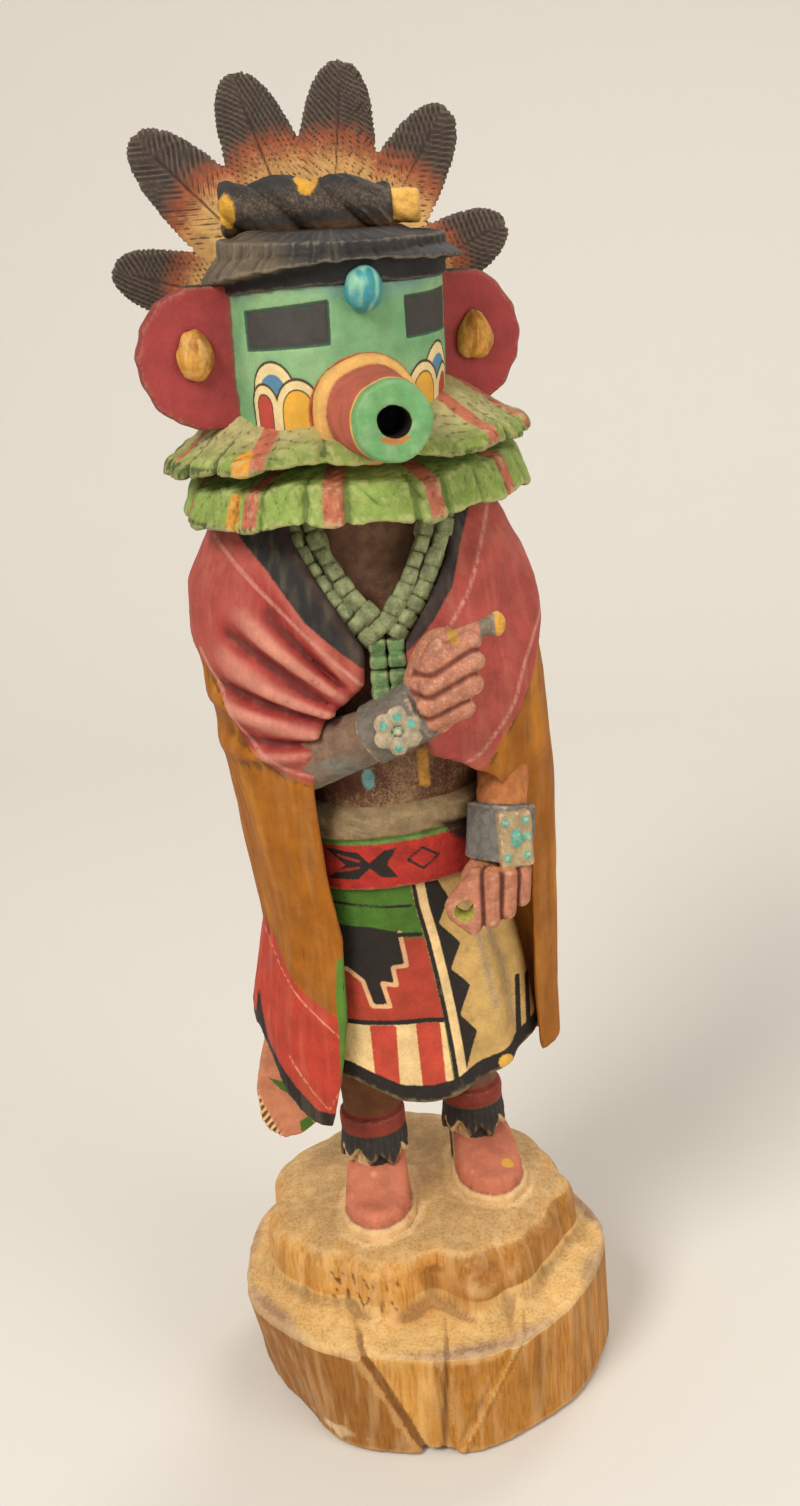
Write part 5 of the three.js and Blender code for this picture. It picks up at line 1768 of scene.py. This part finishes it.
@dataclass
class FeatherFan(Piece):
    """Six feathers carved from one board, burned at their tips."""

    centre: Spot = (-4.0, 14.7, 322.0)
    thick: float = 4.4
    feathers: tuple[Spot, ...] = (
        (161.5, 61.0, 20.0), (132.0, 71.5, 22.5), (107.0, 69.5, 22.0), (82.5, 68.0, 22.0), (56.5, 64.5, 21.0),
        (25.0, 55.0, 20.0),
    )

    def local(self, p: Points, feather: Spot) -> tuple[Array, Array]:
        """Points measured out along a feather and across it."""
        turn = math.radians(feather[0])
        dx, dz = p[0] - self.centre[0], p[2] - self.centre[2]
        return dx * math.cos(turn) + dz * math.sin(turn), dz * math.cos(turn) - dx * math.sin(turn)

    def blade(self, u: Array, v: Array, feather: Spot) -> Array:
        """One feather's outline."""
        reach, half = feather[1], feather[2] / 2
        tip = [
            (0.3, 0.96), (0.5, 1.02), (0.62, 0.99), (0.74, 0.92), (0.84, 0.81), (0.91, 0.67), (0.96, 0.48),
            (0.99, 0.28), (1.0, 0.06),
        ]
        upper = [(reach * a, half * b) for a, b in tip]
        lower = [(reach * min(a, 0.99), -half * b) for a, b in tip[::-1]]
        return outline(u, v, [(0, half * 0.6)] + upper + lower + [(0, -half * 0.6)])

    @staticmethod
    def barbs(u: Array, v: Array, wander: Array) -> Array:
        """The barbs that slant off the rib, from 0 in a cut to 1 on a barb."""
        return ridges(u - 0.95 * np.abs(v) + 0.5 * wander, 1.7)

    def nearest(self, p: Points) -> tuple[Array, Array, Array, Array]:
        """The closest feather's outline distance, its own two measures, and its reach."""
        best = None
        for feather in self.feathers:
            u, v = self.local(p, feather)
            edge = self.blade(u, v, feather) + 0.55 * (1 - self.barbs(u, v, noise((u, 0 * u, v), 3, 96))) ** 3
            if best is None:
                best = [edge, u, v, 0 * edge + feather[1]]
            else:
                closer = edge < best[0]
                best = [np.where(closer, a, b) for a, b in zip((edge, u, v, 0 * edge + feather[1]), best)]
        return tuple(best)

    def shape(self, p: Points) -> Array:
        """The board cut to the feathers' outlines."""
        x, y, z = p
        flat = self.nearest((x, 0 * x, z))[0]
        hub = np.hypot(x - self.centre[0], z - self.centre[2]) - 30.0
        flat = soft_min(flat, hub, 2.0)
        middle = self.centre[1] + self.thick / 2
        return soft_max(flat, np.abs(y - middle) - self.thick / 2, 1.1)

    def marks(self, p: Points) -> Array:
        """Barbs cut in a V off an engraved central rib."""
        _, u, v, reach = self.nearest(p)
        barbs = self.barbs(u, v, noise(p, 4, 91))
        rib = ramp(np.abs(v), 0.9, 0.3) * ramp(u, reach * 0.95, reach * 0.85)
        carved = -0.6 * (1 - barbs) ** 1.4 * ramp(np.abs(v), 0.6, 1.3) - 0.4 * rib
        split = -0.6 * ramp(noise((v, u / 9, 0 * u), 1.1, 92), 0.62, 0.85)
        return carved + split * ramp(u, reach * 0.6, reach * 0.85) + 0.08 * noise(p, 1, 93)

    def coats(self, p: Points) -> list[Coat]:
        """Tan roots, an orange-red scorch, and black-brown tips."""
        _, u, v, reach = self.nearest(p)
        share = u / reach
        fringe = 0.02 * noise((u / 3, v, 0 * u), 1.3, 94) + 0.0004 * v * v
        red = (0.66 - share - fringe) * 60
        dark = (0.745 - share - fringe) * 60
        barbs = self.barbs(u, v, noise(p, 4, 91))
        root = np.maximum(share - 0.64, 0.1 - noise(p, 6, 95)) * 20
        return [
            Coat("pale", "#d2a868", root, 1.0, 3.0),
            Coat("red", "#a3502c", red, 1.2, 4.0),
            Coat("dark", "#3c332d", dark, 0.9, 3.2),
            Coat("barbs", "#66574a", np.maximum(0.86 - barbs, (0.66 - share) * 8) * 1.6, 0.9, 0.5),
            Coat("cuts", "#75492b", np.maximum(barbs - 0.12, (share - 0.7) * 8) * 1.6, 0.3, 0.4),
            Coat("rib", "#3a261a", np.maximum(np.abs(v) - 0.22, (share - 0.9) * 40), 0.2, 0.3),
        ]


# ---- Necklace -----------------------------------------------------------------------------------


@dataclass
class NecklaceBand(Piece):
    """The flat bed that the beads stand on, and the tiled pendant."""

    strands: tuple[tuple[Spot, ...], ...] = (
        ((-20.0, -19.0, 284.0), (-16.4, -24.5, 268.0), (-9.6, -29.0, 255.0), (-0.8, -32.0, 246.2)),
        ((-14.8, -19.0, 284.0), (-11.4, -25.0, 268.6), (-5.0, -29.5, 256.4), (2.4, -32.0, 248.6)),
        ((23.5, -19.0, 284.0), (20.8, -24.5, 270.0), (15.0, -29.0, 257.4), (6.8, -32.0, 246.8)),
        ((18.2, -19.0, 284.0), (15.8, -25.0, 270.0), (10.6, -29.5, 258.6), (4.8, -32.0, 249.6)),
    )
    tile: Corner = (4.7, 3.5)

    def shape(self, p: Points) -> Array:
        """Thin rods under the beads, and two columns of tiles."""
        whole = None
        for strand in self.strands:
            for start, end in zip(strand, strand[1:]):
                one = rod(p, start, end, 2.1, 2.1)
                whole = one if whole is None else soft_min(whole, one, 0.8)
        for row in range(4):
            for column in range(2):
                x = 1.2 + column * (self.tile[0] + 0.3)
                z = 243.6 - row * (self.tile[1] + 0.4)
                y = -31.6 - 1.7 * row
                whole = np.minimum(whole, brick(p, (x, y, z), (self.tile[0] / 2, 3.4, self.tile[1] / 2), 0.6))
        return whole

    def marks(self, p: Points) -> Array:
        """Uneven faces."""
        return 0.25 * noise(p, 2.0, 96) + 0.1 * noise(p, 0.9, 97)

    def coats(self, p: Points) -> list[Coat]:
        """Brighter green on the pendant, dusty sage above."""
        return [
            Coat("pendant", "#5f7f4e", p[2] - 246.0, 1.0, 2.0),
            Coat("dust", "#95946a", 0.5 + 0 * p[2], 1.2, 0.6),
        ]


@dataclass
class Beads:
    """The beads of the necklace, set along its strands by a node tree.

    Args:
        strands: The strands that they follow.
        size: A bead's width, depth and length.
        spacing: The distance from one bead to the next.
        seed: The seed of their uneven sizes.
        finish: Their finish.
    """

    strands: tuple[tuple[Spot, ...], ...]
    size: Spot = (5.5, 3.8, 4.8)
    spacing: float = 4.3
    seed: int = 5
    finish: Finish = Finish(base="#858a62", grime_and_shade="#39402c", mottle=0.32, patch=3, worn="#b3ab80", tooth=0.3)

    def tree(self) -> bpy.types.NodeTree:
        """The node tree: a softened block on every spaced point, turned along its strand."""
        group = bpy.data.node_groups.new("bead_strands", "GeometryNodeTree")
        sockets = group.interface
        sockets.new_socket("Strands", in_out="INPUT", socket_type="NodeSocketGeometry")
        sockets.new_socket("Size", in_out="INPUT", socket_type="NodeSocketVector")
        sockets.new_socket("Spacing", in_out="INPUT", socket_type="NodeSocketFloat")
        sockets.new_socket("Seed", in_out="INPUT", socket_type="NodeSocketInt")
        sockets.new_socket("Material", in_out="INPUT", socket_type="NodeSocketMaterial")
        sockets.new_socket("Beads", in_out="OUTPUT", socket_type="NodeSocketGeometry")
        tree = Tree(group)
        given = tree.add("NodeGroupInput").outputs
        curve = tree.add("GeometryNodeMeshToCurve", {"Mesh": given["Strands"]}).outputs[0]
        spaced = tree.add(
            "GeometryNodeResampleCurve", {"Curve": curve, "Length": given["Spacing"]}, mode="LENGTH"
        ).outputs[0]
        block = tree.add("GeometryNodeMeshCube", {"Size": given["Size"]}).outputs[0]
        soft = tree.add("GeometryNodeSubdivisionSurface",
            {"Mesh": block, "Level": 2, "Edge Crease": 0.78}).outputs[0]
        tangent = tree.add("GeometryNodeInputTangent").outputs[0]
        turn = tree.add("FunctionNodeAlignRotationToVector", {"Vector": tangent}, axis="Z").outputs[0]
        vary = tree.add(
            "FunctionNodeRandomValue", {0: (0.78, 0.85, 0.72), 1: (1.1, 1.15, 1.08), "Seed": given["Seed"]},
            data_type="FLOAT_VECTOR",
        ).outputs[0]
        placed = tree.add(
            "GeometryNodeInstanceOnPoints", {"Points": spaced, "Instance": soft, "Rotation": turn,
                "Scale": vary}
        ).outputs[0]
        real = tree.add("GeometryNodeRealizeInstances", {"Geometry": placed}).outputs[0]
        dressed = tree.add("GeometryNodeSetMaterial", {"Geometry": real,
            "Material": given["Material"]}).outputs[0]
        tree.add("NodeGroupOutput", {"Beads": dressed})
        return group

    def build(self) -> bpy.types.Object:
        """Threads the beads and keeps them as a plain mesh."""
        points, edges = [], []
        for strand in self.strands:
            edges += [(len(points) + i, len(points) + i + 1) for i in range(len(strand) - 1)]
            points += [tuple((np.array(spot) + (0, -0.9, 0) + SHIFT) * MM) for spot in strand]
        guide = bpy.data.meshes.new("bead_guide")
        guide.from_pydata(points, edges, [])
        maker = bpy.data.objects.new("bead_maker", guide)
        bpy.context.scene.collection.objects.link(maker)
        group = self.tree()
        modifier = maker.modifiers.new("beads", "NODES")
        modifier.node_group = group
        values = {
            "Size": tuple(s * MM for s in self.size),
            "Spacing": self.spacing * MM,
            "Seed": self.seed,
            "Material": PAINTER.material("bead_finish", self.finish, []),
        }
        for item in group.interface.items_tree:
            if item.name in values and item.in_out == "INPUT":
                modifier[item.identifier] = values[item.name]
        graph = bpy.context.evaluated_depsgraph_get()
        mesh = bpy.data.meshes.new_from_object(maker.evaluated_get(graph))
        maker.modifiers.clear()
        bpy.data.objects.remove(maker)
        mesh.shade_smooth()
        made = bpy.data.objects.new("necklace_beads", mesh)
        bpy.context.scene.collection.objects.link(made)
        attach(made, "root")
        log.info("necklace_beads: %d faces", len(mesh.polygons))
        return made


# ---- The whole figure and its studio -------------------------------------------------------------


@dataclass
class Doll:
    """Every piece of the doll with its finish."""

    paint: Finish = Finish(base="#a33628")

    def pieces(self) -> list[Piece]:
        """The carved pieces, from the base up."""
        bare = Finish(
            base="#cd9549", worn="#e3bd80", grime_and_shade="#5e3818", wear_and_highlight=0.3, dirt_and_shade=0.5, mottle=0.1, patch=12,
            grain=0.5, stretch=8, rough=0.62, tooth=0.1,
        )
        cloth = Finish(base="#9f3b34", worn="#a65a4c", grime_and_shade="#33201a", wear_and_highlight=0.05, mottle=0.13, patch=7,
            tooth=0.16, grain=0.14)
        # The skin and the left arm take a pale colour on high spots such as the finger ridges: worn paint and
        # a painted highlight.
        skin = Finish(base="#7a604c", worn="#d8b48c", grime_and_shade="#41261b", wear_and_highlight=0.75, mottle=0.2, patch=3)
        leaf = Finish(base="#778a3c", worn="#b9b078", grime_and_shade="#2b3318", wear_and_highlight=0.5, dirt_and_shade=0.6, mottle=0.16,
            patch=4)
        low_leaf = Finish(base="#829848", worn="#bdb680", grime_and_shade="#2b3318", wear_and_highlight=0.5, dirt_and_shade=0.5, mottle=0.16,
            patch=4)
        face = Finish(base="#719f6f", worn="#a9ba84", grime_and_shade="#2f4a36", wear_and_highlight=0.2, mottle=0.1, patch=6,
            tooth=0.14)
        black = Finish(base="#2f2b28", worn="#8b8070", grime_and_shade="#15110f", wear_and_highlight=0.4, mottle=0.22, patch=4,
            rough=0.66)
        knob = Finish(base="#c8913f", worn="#e0b468", grime_and_shade="#6b3f17", mottle=0.14, patch=4, grain=0.5,
            stretch=3)
        upper = ((-174.0, 1.5), (-157.0, 1.3), (-118.0, 2.6), (-40.0, 2.4), (-10.0, 2.0), (150, 2),
            (100, 2), (55, 2), (20, 2))
        lower = ((-161.0, 0.8), (-126.0, 2.2), (-97.0, 2.6), (-64.0, 2.4), (-31.0, 1.9), (165, 2),
            (120, 2), (75, 2), (30, 2))
        return [
            LogBase("log_base", (-63, -63, 0), (63, 63, 60), 1.1, bare, ("carved_figure",)),
            Feet("moccasins", (-30, -34, 54), (40, 28, 73), 0.6,
                Finish(base="#bf7054", worn="#e0a880", wear_and_highlight=0.25, mottle=0.12)),
            Legs("legs", (-27, -15, 57), (32, 25, 113), 0.65,
                Finish(base="#6b4020", worn="#b98a55", mottle=0.2)),
            Kilt("kilt", (-38, -34, 98), (42, 34, 179), 0.88,
                 Finish(base="#c09b5c", worn="#d8b884", grime_and_shade="#4b3322", wear_and_highlight=0.25, mottle=0.14, patch=6,
                     tooth=0.22)),
            Belt("belt", (-30, -32, 168), (34, 30, 201), 0.7,
                 Finish(base="#86704f", worn="#b09a70", grime_and_shade="#3d2c1e", mottle=0.2, patch=4, tooth=0.25)),
            Torso("torso", (-30, -29, 186), (34, 2, 298), 1.05,
                  Finish(base="#785643", worn="#a4805a", grime_and_shade="#241510", wear_and_highlight=0.5, mottle=0.25, patch=3)),
            Cape("cape", (-54, -44, 88), (56, 46, 294), 1.2, cloth),
            SashEnd("sash_end", (-51, -5, 76), (-28, 9, 124), 0.55,
                Finish(base="#c07a58", worn="#e0ae86", mottle=0.14)),
            RightArm("right_arm", (-33, -58, 198), (38, -12, 258), 0.54, skin),
            LeftArm("left_arm", (10, -50, 156), (49, 10, 232), 0.54,
                    Finish(base="#b06a3a", worn="#dcb48c", grime_and_shade="#3f2318", wear_and_highlight=0.75, mottle=0.22, patch=3)),
            NecklaceBand("necklace_band", (-24, -42, 224), (28, -14, 288), 0.6, Beads(()).finish),
            RuffTier("ruff_lower", (-54, -54, 272), (54, 48, 295), 0.88, low_leaf, centre=(-1.0, -3.0),
                wide=48.0,
                     deep=45.5, under=278.6, over=293.0, lip=10.0, sag=(2.5, 0.0), leaves=24, seed=61,
                     stripes=lower, chip=(-133.0, 2.2), dust=0.4),
            RuffTier("ruff_upper", (-58, -54, 284), (54, 48, 313), 0.88, leaf, wide=50.5, stripes=upper),
            Mask("mask", (-54, -30, -8), (52, 28, 42), 0.65, face, pose=HEAD),
            Hair("hair", (-34, -32, 31), (34, 32, 51), 0.66, black, pose=HEAD),
            Snout("snout", (-16, -51, -9), (16, -21, 21), 0.55,
                  Finish(base="#ad5946", worn="#d9a080", wear_and_highlight=0.2, mottle=0.12), ("snout",), "snout", HEAD),
            Pebble("forehead_bead", (-6, -35, 28), (6, -20, 43), 0.4,
                   Finish(base="#3a8a92", worn="#a5d0b4", grime_and_shade="#2c5a50", mottle=0.1, patch=3, rough=0.45,
                       wear_and_highlight=0.1),
                   ("forehead_bead",), "bead", HEAD, centre=(0, -27.6, 35.5), radii=(4.7, 5.5, 5.6)),
            Pebble("ear_knob_left", (-45, -10, 11), (-31, -1, 29), 0.4, knob, ("ear_knob_left",), "knob",
                HEAD,
                   centre=(-38, -3.4, 20), radii=(4.8, 4.4, 6.5), narrow=0.1, flat=-3.3),
            Pebble("ear_knob_right", (30, -10, 11), (44, -1, 29), 0.4, knob, ("ear_knob_right",), "knob",
                HEAD,
                   centre=(37, -3.4, 20), radii=(4.9, 4.4, 6.3), narrow=0.28, flat=-3.3),
            TwistRoll("twist_roll", (-31, -20, 340), (24, 3, 366), 0.5, black, ("twist_roll",), "roll"),
            FeatherFan("feather_fan", (-66, 13, 305), (50, 21, 393), 0.68,
                       Finish(base="#c99a5e", worn="#8f7a60", grime_and_shade="#38231a", wear_and_highlight=0.22, dirt_and_shade=0.7,
                           mottle=0.16),
                       ("feather_fan",), "feathers"),
        ]

    def build(self) -> None:
        """Carves every piece and threads the beads."""
        for piece in self.pieces():
            made = piece.build()
            if isinstance(piece, NecklaceBand):
                Beads(piece.strands).build()
            made.data.validate()


@dataclass(frozen=True)
class Studio:
    """A pale floor, soft lights and the camera.

    Args:
        eye: The camera's place in the figure's frame, in millimetres.
        pitch: How far it looks down, in degrees.
        roll: How far it is turned about its own axis, in degrees.
        lens: Its focal length, in millimetres, on a 36 mm sensor.
    """

    eye: Spot = (4.7, -489.3, 375.6)
    pitch: float = 19.6
    roll: float = 5.0
    lens: float = 43.03

    def camera(self) -> None:
        """Stands the camera where the doll is seen from."""
        data = bpy.data.cameras.new("camera")
        data.lens = self.lens
        data.sensor_width = 36
        data.sensor_fit = "AUTO"
        data.clip_start = 0.01
        eye = bpy.data.objects.new("camera", data)
        tilt = Matrix.Rotation(math.radians(90 - self.pitch), 4,
            "X") @ Matrix.Rotation(math.radians(-self.roll), 4, "Z")
        eye.matrix_world = Matrix.Translation((np.array(self.eye) + SHIFT) * MM) @ tilt
        bpy.context.scene.collection.objects.link(eye)
        bpy.context.scene.camera = eye

    def floor(self) -> None:
        """A wide floor that curves up behind."""
        points, faces = [], []
        profile = [(-2.0, 0.0), (0.6, 0.0)]
        profile += [(0.6 + 0.5 * math.sin(a), 0.5 - 0.5 * math.cos(a)) for a in np.linspace(0.1,
            math.pi / 2, 10)]
        profile.append((1.1, 3.0))
        for y, z in profile:
            points += [(-3.0, y, z - 0.0004), (3.0, y, z - 0.0004)]
        faces = [(2 * i, 2 * i + 1, 2 * i + 3, 2 * i + 2) for i in range(len(profile) - 1)]
        mesh = bpy.data.meshes.new("floor")
        mesh.from_pydata(points, [], faces)
        mesh.shade_smooth()
        paper = bpy.data.materials.new("paper")
        paper.use_nodes = True
        tree = Tree(paper.node_tree)
        shader = tree.add("ShaderNodeBsdfPrincipled", {"Base Color": linear("#d9d4cb"), "Roughness": 0.9})
        tree.add("ShaderNodeOutputMaterial", {"Surface": shader.outputs[0]})
        mesh.materials.append(paper)
        made = bpy.data.objects.new("floor", mesh)
        bpy.context.scene.collection.objects.link(made)

    def light(self, name: str, place: Spot, size: float, power: float, tint: Spot) -> None:
        """One soft lamp that faces the figure's chest."""
        data = bpy.data.lights.new(name, "AREA")
        data.shape = "DISK"
        data.size = size
        data.energy = power
        data.color = tint
        lamp = bpy.data.objects.new(name, data)
        lamp.location = place
        aim = Vector((0, 0, 0.2)) - Vector(place)
        lamp.rotation_euler = aim.to_track_quat("-Z", "Y").to_euler()
        bpy.context.scene.collection.objects.link(lamp)

    def build(self) -> None:
        """Sets the stage."""
        self.camera()
        self.floor()
        self.light("key", (-0.75, -1.0, 1.35), 0.7, 22, (1.0, 0.97, 0.93))
        self.light("fill", (1.1, -0.9, 0.7), 1.0, 9, (1.0, 0.96, 0.9))
        self.light("back", (0.5, 1.0, 1.3), 0.7, 8, (1.0, 1.0, 1.0))
        world = bpy.data.worlds.new("world")
        world.use_nodes = True
        tree = Tree(world.node_tree)
        sky = tree.add("ShaderNodeBackground", {"Color": (1.0, 0.97, 0.93, 1), "Strength": 0.45})
        tree.add("ShaderNodeOutputWorld", {"Surface": sky.outputs[0]})
        bpy.context.scene.world = world
        bpy.context.scene.view_settings.view_transform = "Standard"


def main() -> None:
    """Builds the doll and sets the stage."""
    Doll().build()
    Studio().build()


if __name__ == "__main__":
    main()
